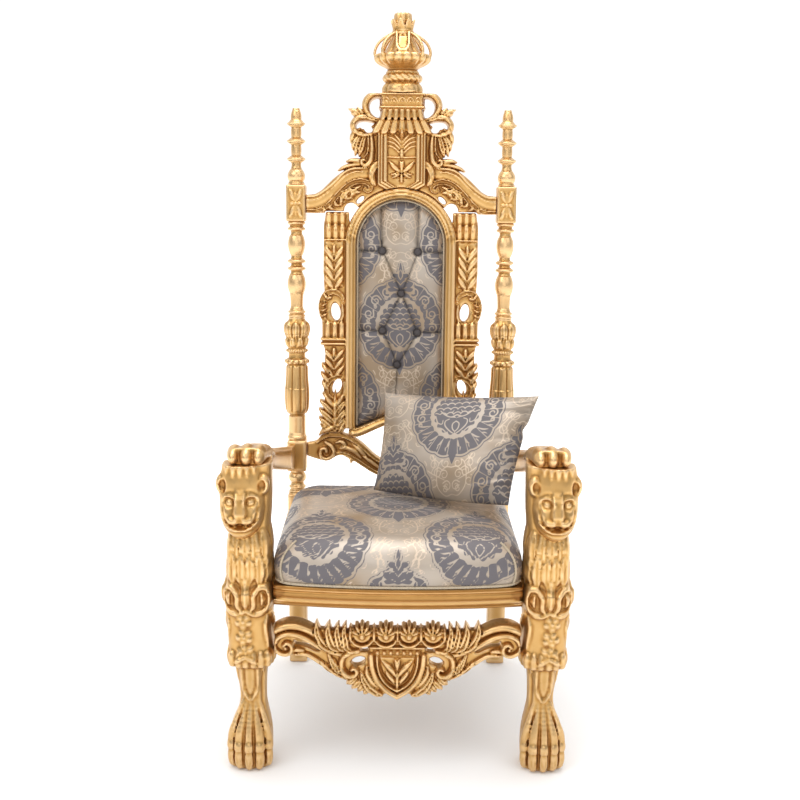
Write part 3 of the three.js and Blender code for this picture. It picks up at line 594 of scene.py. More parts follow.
def damask_tile():
    """Half of one medallion cell, x from 0 to half a repeat: distances to the figure and the lines.

    Core and wreath are ellipses whose edge moves by |cos(n angle)|, curls are shrinking spirals, and
    the figure is the smallest of these distances with the thin lines taken out of it.
    """
    def shape(strokes):
        """Distance to strokes (x, z, width), with the grid."""
        r = Relief(0, REPEAT_X / 2 + TILE_CELL, -REPEAT_Z / 2, REPEAT_Z / 2, TILE_CELL)
        for rows in strokes:
            r.stroke([[*row, 1] for row in rows], per=5)
        return r.edge, r.X, r.Z, r.x, r.z

    def curl(x, z, size, turn, start, width):
        """Spiral whose radius shrinks to a quarter along the turn."""
        t = np.linspace(0, 1, 9)
        a = start + turn * t * 1.35 * 2 * np.pi
        rad = size * (1 - 0.74 * t)
        return [[x + q * math.cos(b), z + q * math.sin(b), width * (1 - 0.35 * s)] for q, b,
            s in zip(rad, a, t)]

    x, z, gx, gz = shape([])[1:]
    a = np.arctan2(z, x)
    # core: rows of petals like scales over curled leaf pairs
    core = (np.hypot(x / 66, z / 70) - 0.88 - 0.12 * np.abs(np.cos(9 * a))) * 60
    petals = np.full(x.shape, 60.0)
    for k in range(6):
        row_z = 52 - 16 * k
        sx = np.mod(x + (10 if k % 2 else 0) + 10, 20) - 10
        d = np.hypot(sx, (z - row_z) * 0.9) - 11.6
        petals = np.where((d < 0) & (z > row_z - 22), -d, np.minimum(petals, np.abs(d)))
    petals = np.where(z > -20 + 0.3 * x, petals - 1.5, 50)
    core_lines = shape([[(0, -8, 4), (16, -14, 3.4), (34, -6, 3.4), (48, 8, 3)],
        [(0, -68, 3), (16, -56, 3.6), (30, -40, 3.6), (31, -26, 3), (20, -20, 3)],
        [(60, -8, 3), (53, -28, 3.6), (40, -34, 3), (38, -22, 2.6)], [(0, -28, 3.4), (9, -36, 3.4),
        (8, -50, 3.4), (0, -60, 3)], [(50, -44, 3), (36, -50, 3.4), (20, -66, 3)],
        [(10, 8, 2), (14, 2, 2.6), (24, 2, 2)]])[0]
    # flame on top, then the wreath round it: scalloped outside, curls above and leaves below
    flame = shape([[(0, 108, 26), (0, 126, 28), (0, 146, 17), (0, 180, 3)], [(12, 122, 18), (26, 118, 18),
        (34, 120, 10)], [(10, 142, 14), (19, 144, 11)], [(14, 106, 16), (30, 102, 12), (36, 104, 6)]])[0]
    flame_lines = shape([[(0, 132, 3), (6, 142, 3.4), (5, 152, 3), (0, 162, 2)],
        [(0, 116, 3), (12, 128, 3.4), (22, 124, 3)], [(8, 104, 3), (20, 110, 3)]])[0]
    outer = (np.hypot(x / 121, z / 125) - 1) * 121 - 4.5 * np.abs(np.cos(9.5 * a))
    inner = (np.hypot(x / 78, z / 83) - 1) * 80 + 3.5 * np.abs(np.cos(11 * a))
    wreath = np.maximum.reduce([outer, -inner, 8 - flame])
    rim = np.maximum(np.abs(outer - 6.5) - 1.4, 8 - flame)
    curls = []
    for t, size, turn in ((1.16, 17, 1), (0.74, 17, -1), (0.30, 17, 1), (-0.12, 16, -1)):
        r0 = 1.0 / math.hypot(math.cos(t) / 101, math.sin(t) / 105)
        cx, cz = r0 * math.cos(t), r0 * math.sin(t)
        curls += [curl(cx, cz, size, turn, t + 2.2, 4.6), curl(cx * 1.02, cz * 1.02 - 20, 6, -turn, t, 3.2)]
    for t in (-0.42, -0.66, -0.92, -1.18, -1.42):
        r0 = 1.0 / math.hypot(math.cos(t) / 100, math.sin(t) / 104)
        px, pz = r0 * math.cos(t), r0 * math.sin(t)
        curls.append([(px * 0.80, pz * 0.80 - 4, 2), (px, pz + 3, 4.6), (px * 1.18, pz * 1.12 + 10, 2)])
        curls.append([(px * 0.9 + 8, pz * 0.9 - 12, 2), (px + 6, pz - 7, 3.4), (px * 1.12 + 4, pz * 1.1 - 4,
            1.6)])
    wreath_lines = shape(curls)[0]
    share = np.clip(-inner / np.maximum(outer - inner, 1), 0, 1)
    ribs = np.abs(np.sin(13 * a + 1.1 * np.sin(np.pi * share))) * 9 - 1.2
    wreath_lines = np.minimum(wreath_lines, np.where((share > 0.74) | (share < 0.16), ribs, 50))
    tip = shape([[(0, -118, 26), (0, -136, 14), (0, -150, 3)]])[0]
    figure = np.minimum.reduce([core, wreath, flame, tip, rim, np.abs(flame - 5) - 1.3 + np.where(z > 112,
        0, 50)])
    cut = np.minimum.reduce([np.where(core < -2, petals, 50), np.where(core < -1, core_lines, 50),
        np.where(wreath < 0, wreath_lines, 50), np.where(flame < 0, flame_lines, 50)])
    figure = np.maximum(figure, -cut)
    # cream scrolls of the ground between the wreaths
    side = REPEAT_X / 2
    places = ((150, 60, 15, 1, 0.4), (176, 26, 14, -1, 2.6), (172, 84, 14, 1, 1.2), (152, -22, 14, 1, 0.8),
        (176, -56, 15, 1, -2.6), (150, -84, 15, -1, -0.4), (132, 104, 13, -1, 1.6), (132, -112, 13, 1, 0.6),
        (52, 170, 15, 1, 3.4), (24, 206, 14, -1, 0.2), (62, 204, 14, 1, 2.2), (88, 146, 13, 1, 0.9),
        (52, -150, 14, -1, -3.4), (22, -178, 14, 1, -0.2), (54, -196, 15, -1, 1.2), (88, -150, 13, 1, 2.0),
        (112, 126, 10, 1, 0), (110, -134, 10, -1, 0), (20, -214, 9, 1, 1))
    fill = [curl(*place, 3.0) for place in places]
    fill += [[(128, 60, 2), (140, 86, 3.2), (128, 112, 3.2), (104, 136, 3.2), (78, 164, 3), (50, 190, 3),
        (28, 222, 2)], [(130, -50, 2), (142, -84, 3.2), (124, -118, 3.2), (96, -146, 3.2), (62, -172, 3),
        (20, -192, 2)], [(side, 6, 2.4), (168, 4, 3), (146, 30, 3), (152, 84, 3), (side, 108, 2.4)],
        [(side, -20, 2.4), (168, -28, 3), (148, -54, 3), (158, -92, 3), (side, -108, 2.4)],
        [(0, 190, 3), (12, 186, 3), (24, 190, 2)], [(0, -160, 3), (14, -158, 3), (26, -164, 2)]]
    lines = shape(fill)[0]
    return gx, gz, figure, lines, outer


DAMASK = damask_tile()


def damask(u, v):
    """Both distances at cloth points (mm): half-drop repeat, read from the mirrored half cell."""
    gx, gz, figure, lines, outer = DAMASK

    def read(tile, i, j, a, b):
        """Number between four grid points, a and b their shares."""
        return (tile[i, j] * (1 - a) * (1 - b) + tile[i + 1, j] * a * (1 - b) + tile[i, j + 1] * (1 - a)
            * b + tile[i + 1, j + 1] * a * b)

    found = []
    for du, dv in ((0.0, 0.0), (REPEAT_X / 2, REPEAT_Z / 2)):
        dx = np.abs(u - du - np.floor((u - du) / REPEAT_X + 0.5) * REPEAT_X)
        dz = v - dv - np.floor((v - dv) / REPEAT_Z + 0.5) * REPEAT_Z
        fi = np.clip((dx - gx[0]) / (gx[1] - gx[0]), 0, len(gx) - 1.001)
        fj = np.clip((dz - gz[0]) / (gz[1] - gz[0]), 0, len(gz) - 1.001)
        i, j = fi.astype(int), fj.astype(int)
        found.append([read(tile, i, j, fi - i, fj - j) for tile in (figure, lines, outer)])
    figure, lines, outer = (np.minimum(p, q) for p, q in zip(*found))
    return figure, np.where(np.minimum(figure, outer - 8) < 3, 30.0, lines)


def crest_mesh():
    """Crest rail: shield, scroll tops, petal skirts, cheeks and the serpentine arms.

    A height map of strokes and sunk areas, cut along the arch's outer circle, the post and the crown's
    foot.
    """
    r = Relief(0, 257, 1224, 1594, BOARD_CELL)
    r.outline([(-30, 1235), (95, 1235), (112, 1290), (124, 1302), (134, 1306), (146, 1303), (153, 1293),
        (154, 1282.3), (203, 1282.3), (207, 1277.5), (255.7, 1277.5), (255.7, 1326), (229, 1329),
        (214, 1335), (199, 1345), (187, 1356), (175, 1369), (160, 1386), (140, 1400), (118, 1405),
        (110, 1420), (112, 1450), (112, 1480), (108, 1500), (92, 1500), (76, 1512), (60, 1530), (60, 1592),
        (-30, 1592)])
    # serpentine arm with its two top lines and the lower scroll
    r.stroke([[256, 1306, 40, 10], [232, 1308, 40, 11], [206, 1320, 40, 12], [186, 1338, 40, 12],
        [165, 1358, 40, 12], [144, 1374, 36, 11], [118, 1382, 34, 10], [92, 1384, 30, 8]])
    r.stroke([[256, 1321, 8, 14], [230, 1323, 8, 14], [204, 1338, 8, 15], [176, 1362, 8, 15],
        [156, 1383, 8, 15], [134, 1394, 8, 15], [108, 1397, 7, 14], [90, 1397, 6, 12]])
    r.stroke([[256, 1311, 5, 13], [228, 1313, 5, 14], [200, 1330, 5, 15], [172, 1355, 5, 15],
        [150, 1376, 5, 15], [128, 1386, 5, 15], [104, 1389, 5, 13]])
    r.stroke([[256, 1283, 11, 13], [222, 1284, 13, 14], [194, 1300, 14, 15], [168, 1328, 15, 16],
        [142, 1352, 16, 16], [118, 1362, 16, 16], [96, 1361, 15, 16], [82, 1350, 13, 15],
        [85, 1339, 12, 14], [96, 1339, 11, 15], [97, 1346, 8, 16]], "scroll", lay=True)
    for k in range(6):
        t = k / 5
        x0, z0 = 208 - 74 * t, 1292 + 44 * t
        r.inner_leaf([[x0, z0, 7, 7], [x0 - 3, z0 - 9, 12, 11], [x0 - 12, z0 - 14 + 5 * t, 5, 6]])
    r.inner_leaf([[160, 1335, 7, 9], [140, 1340, 11, 12], [122, 1344, 10, 12], [110, 1350, 6, 9]])
    for a, b in (((112, 1334), (134, 1322)), ((124, 1340), (150, 1318)), ((140, 1336), (162, 1304))):
        r.leaf([[a[0], a[1], 8, 8], [(a[0] + b[0]) / 2 + 5, (a[1] + b[1]) / 2 + 5, 15, 12],
            [b[0], b[1], 10, 10], [b[0] - 3, b[1] - 8, 4, 5]])
    r.hole(135, 1286, 11, 19, -0.2)
    r.hole(110, 1314, 13, 6, -0.75)
    # ledge leaves over the arm
    r.stroke([[170, 1390, 4, 6], [156, 1398, 11, 10], [134, 1405, 13, 11], [108, 1408, 12, 10]], "leaf")
    r.roll([[148, 1414, 5, 8], [136, 1417, 12, 14], [120, 1417, 14, 15], [104, 1415, 12, 13]])
    # hanging cheek: five long leaves, their tips outside
    for x0, z0, x1, z1, x2, z2, w in ((112, 1500, 130, 1484, 136, 1462, 16), (108, 1492, 126, 1464, 131,
            1445, 16), (103, 1488, 117, 1455, 125, 1430, 17), (97, 1484, 107, 1452, 114, 1428, 17)):
        r.leaf([[x0, z0, 8, 8], [(x0 + x1) / 2 + 1, (z0 + z1) / 2, w * 0.85, 13], [x1, z1, w, 14],
            [(x1 + x2) / 2 + 0.5, (z1 + z2) / 2, w * 0.75, 11], [x2, z2, 3, 5]])
    r.roll([[82, 1486, 8, 10], [80, 1462, 13, 14], [80, 1436, 15, 16], [84, 1416, 16, 17],
        [94, 1405, 16, 17], [104, 1407, 13, 16], [107, 1416, 10, 15], [101, 1421, 8, 15]])
    r.bead(99, 1418, 4.5, 19)
    r.roll([[90, 1482, 5, 12], [89, 1456, 6, 16], [92, 1436, 5, 15], [98, 1428, 4, 10]])
    r.roll([[66, 1412, 12, 12], [76, 1398, 22, 15], [79, 1378, 23, 16], [75, 1360, 18, 14],
        [70, 1352, 7, 9]])
    r.line([[66, 1400, 6, 14], [76, 1384, 8, 19], [78, 1368, 8, 18], [72, 1362, 6, 16]])
    # lower scroll with its eye and the wing leaves above it
    for x0, z0, x1, z1, x2, z2, w in ((96, 1530, 124, 1545, 143, 1552, 14), (92, 1532, 108, 1545, 120, 1556,
            12), (100, 1526, 124, 1537, 136, 1541, 11)):
        r.leaf([[x0, z0, 7, 8], [x1, z1, w, 12], [x2, z2, 3, 6]])
    r.roll([[52, 1520, 12, 14], [72, 1524, 17, 17], [96, 1529, 19, 19], [118, 1526, 19, 20],
        [130, 1512, 18, 19], [127, 1496, 16, 17], [114, 1486, 14, 16], [98, 1483, 12, 14],
        [84, 1487, 9, 11]])
    r.line([[60, 1524, 5, 17], [96, 1533, 5, 22], [118, 1529, 6, 23], [127, 1512, 6, 22],
        [121, 1496, 5, 19], [104, 1488, 5, 17]])
    # upper scroll beside the block
    r.roll([[50, 1584, 12, 16], [70, 1588, 17, 19], [88, 1581, 21, 21], [97, 1563, 21, 21],
        [92, 1543, 17, 19], [80, 1531, 12, 16], [64, 1526, 8, 12]])
    r.line([[56, 1587, 5, 20], [84, 1586, 6, 24], [98, 1566, 6, 24], [92, 1545, 5, 21], [76, 1531, 4, 17]])
    r.hole(67.5, 1543, 9.5, 13.5, -0.1)
    r.hole(89, 1499, 11, 8.5, 0.15)
    # shield: three straight bands round a sunk panel
    shield = [(-5, 1318), (10, 1321), (65, 1353), (65, 1508), (-5, 1508)]
    r.raised(shield, 17, 3)
    for inset, cut in ((8, 5), (16, 6)):
        k = 1 - inset / 65
        r.groove([[65 * k, 1506, 4, cut], [65 * k, 1354 + inset * 0.55, 4, cut], [6, 1320 + inset * 1.2, 4,
            cut], [-4, 1320 + inset * 1.2, 4, cut]], per=1)
    r.raised([(-5, 1338), (3, 1339), (40, 1361), (40, 1506), (-5, 1506)], 7, 3)
    r.line([[-3, 1425, 7, 14], [40, 1427, 7, 14]], per=2)
    for k in range(5):
        z0 = 1432 + 11.5 * k
        r.line([[2, z0, 6, 10], [12, z0 + 12, 7, 12.5], [24, z0 + 21, 7, 12.5], [40, z0 + 25, 6, 11]])
    r.inner_roll([[0, 1430, 14, 12], [0, 1440, 14, 13], [0, 1446, 6, 10]])
    r.inner_leaf([[4, 1388, 5, 12], [12, 1394, 15, 14], [23, 1404, 15, 14], [34, 1417, 3, 9]])
    r.inner_leaf([[0, 1390, 7, 12], [0, 1402, 13, 16], [2, 1411, 11, 15], [5, 1417, 5, 11]])
    r.bead(0, 1388, 4, 17)
    for x1, z1 in ((30, 1381), (26, 1372)):
        r.inner_leaf([[3, 1383, 4, 11], [x1 * 0.5, (1383 + z1) / 2, 10, 15], [x1, z1, 4, 10]])
    r.inner_leaf([[0, 1384, 4, 12], [0, 1373, 12, 17], [0, 1362, 9, 14], [0, 1356, 3, 9]])
    # second skirt: wide veined leaves, then the first skirt of round-ended flutes
    r.tongues(1524, 1482, 61, 88, 7, 17, 9, vein=2.0)
    r.roll([[0, 1492, 14, 26], [0, 1482, 13, 24], [0, 1475, 4, 13]])
    r.tongues(1552, 1518, 53, 61, 7, 23, 8)
    r.raised([(-5, 1549), (56, 1549), (56, 1594), (-5, 1594)], 25, 2)
    r.stroke([[-3, 1555, 11, 33], [57, 1555, 11, 33]], per=2)
    r.stroke([[-3, 1589, 8, 32], [57, 1589, 8, 32]], "flat", per=2)
    for x0 in (0, 21, 42):
        r.line([[x0 - 10, 1566, 5, 28], [x0 - 6, 1576, 5, 31], [x0, 1580, 6, 31], [x0 + 6, 1576, 5, 31],
            [x0 + 10, 1566, 5, 28]])
        r.line([[x0 - 5, 1566, 4, 27], [x0, 1571, 6, 31], [x0 + 5, 1566, 4, 27]])
    gone = ARCH_OUT + 0.4 - np.hypot(r.X, r.Z - ARCH_Z)
    r.edge = np.maximum(r.edge, gone)
    r.edge = np.maximum(r.edge, np.maximum(r.X - 255.7, r.Z - 1592))
    r.edge = np.where(r.Z < 1282.2, np.maximum(r.edge, np.minimum(206 - r.X, 9)), r.edge)
    verts, faces = plate_mesh(r, 17, 17)
    return lean(verts), faces


def palm(r, x, z0, z1, half, rows, height=11.0):
    """Upright palm on a panel: pairs of wide leaves rising from a stem, a pointed one on top."""
    gap = (z1 - z0) / (rows + 0.6)
    for k in range(rows):
        z = z1 - gap * (k + 0.9)
        for side in (-1, 1):
            r.inner_leaf([[x + side * 2, z - gap * 0.95, 6, height * 0.7], [x + side * half * 0.42,
                z - gap * 0.35, gap * 0.62, height], [x + side * half * 0.8, z + gap * 0.18, gap * 0.5,
                height * 0.9], [x + side * half, z + gap * 0.5, 3, height * 0.4]])
    r.inner_leaf([[x, z1 - gap * 1.3, 7, height], [x, z1 - gap * 0.6, 13, height + 1],
        [x, z1 - 4, 3, height * 0.5]])


def stile_mesh():
    """Arch moulding with its sill and the two leaf-carved, pierced stiles.

    The moulding's height is a section read across the distance to the arch's centre, or to the middle
    below it.
    """
    r = Relief(0, 228, 655, 1350, STILE_CELL)
    r.outline([(140, 1281.5), (203, 1281.5), (206, 1264), (209, 1240), (209, 1208), (210, 1120),
        (207, 1069), (213, 1050), (216, 1010), (213, 980), (213, 943), (210, 922), (205, 905), (206, 850),
        (204, 786), (210, 740), (212, 690), (212, 672), (190, 674), (172, 686), (150, 692), (140, 690)])
    for z0, z1 in ((1240, 1280), (1210, 1248)):
        for x in (158, 176, 194):
            r.inner_roll([[x, z0, 15, 6], [x, z0 + 14, 17, 9], [x, z1 - 8, 18, 14], [x, z1 - 2, 14, 13]])
    r.stroke([[150, 1207, 6, 12], [210, 1207, 6, 12]], "flat", solid=False, per=2)
    r.raised([(154, 1078), (205, 1078), (205, 1203), (154, 1203)], 4, 3)
    palm(r, 180, 1078, 1200, 24, 4)
    r.stroke([[154, 1040, 6, 8], [160, 1056, 13, 12], [178, 1067, 15, 14], [200, 1062, 17, 14],
        [213, 1040, 17, 13], [214, 1012, 16, 13], [206, 990, 13, 11], [188, 980, 9, 8]], "scroll")
    r.roll([[206, 1060, 8, 16], [198, 1050, 11, 17], [188, 1052, 8, 15]])
    for k in range(3):
        r.leaf([[200, 1036 - 14 * k, 5, 13], [210, 1030 - 14 * k, 7, 17], [218, 1034 - 14 * k, 3, 9]])
    r.stroke([[158, 1032, 8, 8], [156, 1006, 11, 10], [164, 984, 11, 10]], "leaf")
    r.hole(176, 1012, 12.5, 24, -0.1)
    for x in (159, 178, 197):
        r.inner_roll([[x, 942, 16, 8], [x, 954, 18, 13], [x, 976, 18, 14], [x, 983, 12, 9]])
    r.stroke([[148, 937, 8, 11], [215, 937, 8, 11]], per=2)
    r.stroke([[148, 925, 8, 11], [215, 925, 8, 11]], per=2)
    palm(r, 180, 838, 920, 27, 3, 12)
    for x, z in ((214, 870), (217, 844), (211, 822)):
        r.leaf([[196, z - 24, 9, 10], [206, z - 10, 15, 13], [x, z + 2, 4, 5]])
    r.stroke([[150, 830, 8, 8], [166, 834, 13, 12], [188, 826, 15, 13], [202, 806, 15, 13],
        [198, 784, 14, 12], [184, 770, 10, 9]], "scroll")
    r.stroke([[152, 820, 8, 8], [150, 796, 12, 11], [156, 774, 12, 10]], "leaf")
    r.hole(172, 806, 11.5, 22, 0.33)
    for z, half, w in ((780, 30, 15), (760, 38, 18), (736, 40, 20), (712, 40, 20), (692, 36, 17)):
        for side, reach in ((-1, 0.66), (1, 1.0)):
            r.leaf([[176, z - 34, 9, 9], [176 + side * half * 0.42 * reach, z - 18, w, 15],
                [176 + side * half * 0.85 * reach, z - 2, w * 0.8, 13], [176 + side * (half + 6) * reach,
                z + 8, 4, 5]])
    r.roll([[177, 704, 10, 12], [177, 750, 11, 16], [177, 796, 4, 8]])
    r.leaf([[170, 700, 10, 10], [196, 688, 15, 13], [214, 678, 10, 9], [222, 668, 3, 4]])
    # arch and its columns: two beads and a cove across the moulding
    d = np.where(r.Z > ARCH_Z, np.hypot(r.X, r.Z - ARCH_Z), r.X)
    band = np.maximum(d - ARCH_OUT, ARCH_IN - d)
    band = np.where(r.Z < 690, 50.0, band)
    across = np.interp(d, [121, 122.5, 125, 127, 129, 132, 135, 137, 140, 143, 145, 147, 149, 151],
        [3, 7, 8, 5, 10, 13, 12, 8, 12, 13, 9, 11, 9, 0])
    inside = (band < 0) & (r.Z > 664)
    r.top = np.where(inside, across, r.top)
    sill = [[128, 678, 26, 13], [112, 680, 26, 13], [84, 692, 26, 13], [48, 708, 25, 13], [20, 716, 25, 13],
        [-6, 719, 25, 13]]
    r.edge = np.minimum(r.edge, band)
    r.stroke(sill, "cove")
    sill_top = np.interp(r.X, [0, 20, 48, 84, 112, 121], [730, 729, 721, 705, 693, 691])
    r.edge = np.maximum(r.edge, np.minimum(ARCH_IN - 0.4 - d, r.Z - sill_top))
    low = polygon_distance(r.X, r.Z, spline([(260, 648), (230, 653), (216, 669), (196, 677), (168, 678),
        (142, 673), (115, 660), (104, 651), (92, 641), (80, 630), (62, 613), (30, 597), (-10, 593),
        (-10, 500), (260, 500)], 4))
    r.edge = np.maximum(r.edge, -(low - 0.8))
    r.edge = np.maximum(r.edge, r.Z - 1281.7 + np.where(r.X < 146, -400, 0))
    verts, faces = plate_mesh(r, 17, 17)
    return lean(verts), faces


def lower_rail_mesh():
    """Scrolled rail between the posts under the back."""
    r = Relief(0, 257, 536, 684, BOARD_CELL)
    r.outline([(-30, 548), (30, 551), (61, 561), (88, 578), (106, 590), (130, 596), (159, 613), (177, 609),
        (195, 598), (216, 597), (239, 604), (255.7, 610), (255.7, 646), (230, 652), (216, 667), (196, 674),
        (168, 675), (142, 670), (115, 657), (104, 648), (92, 638), (80, 627), (62, 610), (30, 594),
        (-30, 590)])
    r.stroke([[228, 650, 8, 8], [214, 662, 12, 10], [196, 670, 13, 11], [168, 671, 13, 12],
        [142, 664, 13, 12], [116, 650, 13, 12], [94, 632, 13, 11], [70, 610, 12, 10], [40, 593, 11, 10],
        [-2, 585, 11, 10]], "scroll")
    r.stroke([[186, 606, 8, 7], [170, 616, 10, 9], [150, 616, 11, 9], [124, 603, 12, 10], [98, 586, 12, 10],
        [66, 566, 11, 10], [30, 555, 10, 9], [-2, 553, 9, 9]], "scroll")
    r.roll([[204, 650, 10, 8], [188, 640, 13, 11], [180, 624, 13, 12], [188, 608, 13, 12],
        [204, 602, 13, 12], [217, 612, 13, 12], [216, 628, 12, 12], [204, 632, 11, 12], [200, 622, 10, 12]])
    for row in ([[176, 648, 6, 6], [160, 652, 13, 10], [150, 642, 12, 10], [160, 636, 7, 7]],
            [[164, 632, 6, 6], [144, 634, 15, 11], [122, 624, 15, 11], [106, 606, 6, 6]],
            [[128, 644, 5, 5], [112, 632, 13, 10], [96, 614, 12, 9], [84, 596, 5, 5]],
            [[100, 612, 5, 5], [80, 598, 12, 9], [58, 582, 10, 8], [40, 574, 4, 4]]):
        r.inner_leaf(row)
    r.stroke([[136, 604, 6, 7], [132, 596, 9, 9], [134, 589, 3, 4]], "leaf")
    for k in range(4):
        r.bead(8 + k * 13, 570 + k * k * 0.7, 5, 9)
    r.edge = np.maximum(r.edge, r.X - 255.7)
    top = polygon_distance(r.X, r.Z, spline([(260, 646), (230, 652), (216, 668), (196, 676), (168, 677),
        (142, 672), (115, 659), (104, 650), (92, 640), (80, 629), (62, 612), (30, 596), (-10, 592),
        (-10, 500), (260, 500)], 4))
    r.edge = np.maximum(r.edge, top)
    verts, faces = plate_mesh(r, 11, 15)
    return lean(verts), faces


def apron_mesh():
    """Pierced apron between the lion legs: swags, feathered crest, medallions, pearls and shield."""
    r = Relief(0, 289, 172, 380, FINE_CELL)
    r.outline([(-30, 184), (14, 189), (33, 186), (62, 190), (84, 202), (104, 214), (121, 224), (145, 236),
        (168, 252), (190, 268), (212, 284), (236, 284), (262, 286), (288.7, 294), (288.7, 352), (267, 362),
        (244, 367), (221, 364), (198, 355), (180, 352), (120, 346), (-30, 346)])
    # main roll, second roll, and the curl that ends them at the leg
    r.stroke([[289, 348, 16, 16], [274, 358, 21, 19], [254, 364, 22, 20], [230, 362, 22, 20],
        [206, 352, 20, 18], [186, 338, 16, 14], [168, 322, 10, 9]])
    r.roll([[286, 320, 12, 14], [279, 333, 14, 16], [262, 342, 16, 17], [240, 342, 17, 18],
        [216, 332, 17, 17], [192, 316, 16, 15], [166, 302, 15, 13], [138, 292, 12, 11], [112, 292, 9, 9]])
    r.roll([[289, 312, 9, 12], [284, 299, 12, 13], [270, 291, 13, 14], [256, 292, 13, 15],
        [248, 302, 12, 15], [250, 314, 12, 15], [260, 319, 11, 14], [268, 312, 9, 14]])
    r.bead(262, 306, 5.5, 15)
    r.stroke([[244, 300, 8, 10], [234, 302, 12, 12], [222, 300, 9, 9]])
    r.bead(232, 292, 4, 13)
    r.stroke([[240, 290, 8, 9], [216, 291, 12, 12], [198, 282, 13, 12], [178, 268, 13, 12],
        [160, 256, 12, 11], [142, 244, 10, 9]])
    r.cut([(244, 322), (232, 326), (216, 324), (202, 316), (188, 305), (183, 297), (190, 296), (204, 303),
        (222, 310), (240, 312)], 3)
    # sickle leaves of the upper edge
    for x0, z0, x1, z1, x2, z2, w in ((142, 300, 180, 322, 190, 370, 22), (128, 300, 158, 322, 160, 368,
            23), (116, 300, 138, 322, 138, 366, 21), (106, 300, 122, 322, 121, 366, 19)):
        r.leaf([[x0, z0, 8, 9], [(x0 + x1) / 2 + 5, (z0 + z1) / 2 - 2, w * 0.8, 14], [x1, z1 + 4, w, 15],
            [(x1 + x2) / 2 + 4, (z1 + z2) / 2 + 4, w * 0.75, 13], [x2, z2, 3, 6]])
    for x in (83, 27):
        r.stroke([[x - 29, 352, 4, 12], [x - 27, 334, 7, 15], [x - 16, 319, 8, 16], [x, 314, 8, 16],
            [x + 16, 319, 8, 16], [x + 27, 334, 7, 15], [x + 29, 352, 4, 12]])
        r.raised([(x + 23 * math.cos(t), 340 + 20 * math.sin(t)) for t in np.linspace(0, 6.28, 24)], 9, 3)
        for k in range(5):
            a = math.pi * (0.14 + 0.18 * k)
            cx, cz = x + 22 * math.cos(a), 340 + 22 * math.sin(a)
            r.leaf([[x + 9 * math.cos(a), 340 + 7 * math.sin(a), 7, 10], [cx, cz, 11, 13],
                [x + 30 * math.cos(a) * 0.9, 342 + 25 * math.sin(a), 3, 6]])
        r.bead(x, 338, 9.5, 19)
    for x in (55, -1, 110):
        r.leaf([[x, 322, 6, 10], [x, 338, 12, 14], [x, 350, 10, 12], [x, 360, 3, 6]])
    r.stroke([[-2, 309, 6, 12], [64, 309, 6, 12]], "flat", solid=False, per=2)
    r.raised([(-4, 289), (56, 289), (56, 305), (-4, 305)], 6, 2)
    for k in range(4):
        r.bead(k * 15.5, 297, 6.4, 15)
    # volute with its two openings, side leaves and the toothed leaf under it
    for x0, z0, x1, z1, x2, z2 in ((112, 236, 148, 262, 164, 296), (118, 230, 140, 250, 148, 278),
            (124, 226, 156, 246, 182, 274)):
        r.inner_leaf([[x0, z0, 8, 8], [(x0 + x1) / 2, (z0 + z1) / 2, 17, 13], [x1, z1, 18, 14],
            [x2, z2, 5, 6]])
    r.roll([[70, 306, 8, 10], [92, 300, 13, 14], [114, 296, 15, 16], [129, 280, 15, 16], [130, 258, 15, 16],
        [119, 241, 15, 16], [103, 238, 14, 16], [95, 248, 13, 16], [101, 258, 11, 16], [108, 254, 8, 17]])
    r.hole(77, 302, 11, 7.5, -0.1)
    r.hole(92, 271, 17, 10.5, -0.35)
    for x, z, x0, z0 in ((118, 215, 98, 230), (106, 204, 86, 224), (92, 197, 76, 216), (78, 190, 66, 208)):
        r.leaf([[x0, z0, 10, 9], [(x0 + x) / 2, (z0 + z) / 2, 17, 13], [x, z, 6, 7]])
    r.leaf([[84, 244, 8, 9], [78, 226, 17, 13], [66, 208, 22, 15], [50, 194, 20, 14], [36, 186, 8, 8]])
    r.leaf([[72, 260, 7, 9], [70, 242, 14, 13], [58, 222, 15, 14], [44, 206, 8, 9]])
    r.bead(47, 192, 4, 16)
    # shield with two borders, leaves and bud
    r.roll([[0, 184, 15, 14], [26, 202, 16, 15], [48, 228, 16, 15], [59, 258, 16, 15], [62, 288, 15, 14]])
    r.roll([[0, 200, 6, 15], [22, 215, 7, 15], [38, 236, 7, 15], [46, 262, 7, 15], [48, 288, 7, 14]])
    r.raised([(-4, 212), (6, 214), (22, 226), (34, 244), (41, 266), (43, 286), (-4, 286)], 5, 3)
    r.inner_leaf([[2, 236, 6, 9], [12, 252, 14, 13], [22, 264, 15, 13], [36, 276, 3, 7]])
    r.inner_leaf([[2, 214, 5, 8], [12, 230, 13, 12], [22, 243, 11, 11], [28, 252, 3, 6]])
    r.inner_leaf([[0, 254, 6, 10], [0, 266, 14, 15], [3, 275, 10, 13], [6, 281, 4, 8]])
    r.inner_leaf([[0, 204, 5, 12], [0, 226, 11, 14], [0, 244, 6, 10]])
    r.edge = np.maximum(r.edge, r.X - 288.7)
    verts, faces = plate_mesh(r, 12, 13)
    verts = verts + [0, FACE_Y + 27, 0]
    return verts, faces


def turned(profile, sides, wave=None):
    """Closed lathe surface over rows (height, radius); wave(angle, z) scales the radius."""
    c = np.asarray(profile, float)
    a = np.linspace(0, 2 * np.pi, sides, endpoint=False)
    z = c[:, :1] + 0 * a
    rad = c[:, 1:2] + 0 * a
    if wave is not None:
        rad = rad * wave(a[None, :], z)
    rings = np.stack([rad * np.cos(a), rad * np.sin(a), z], -1)
    return tube(rings)


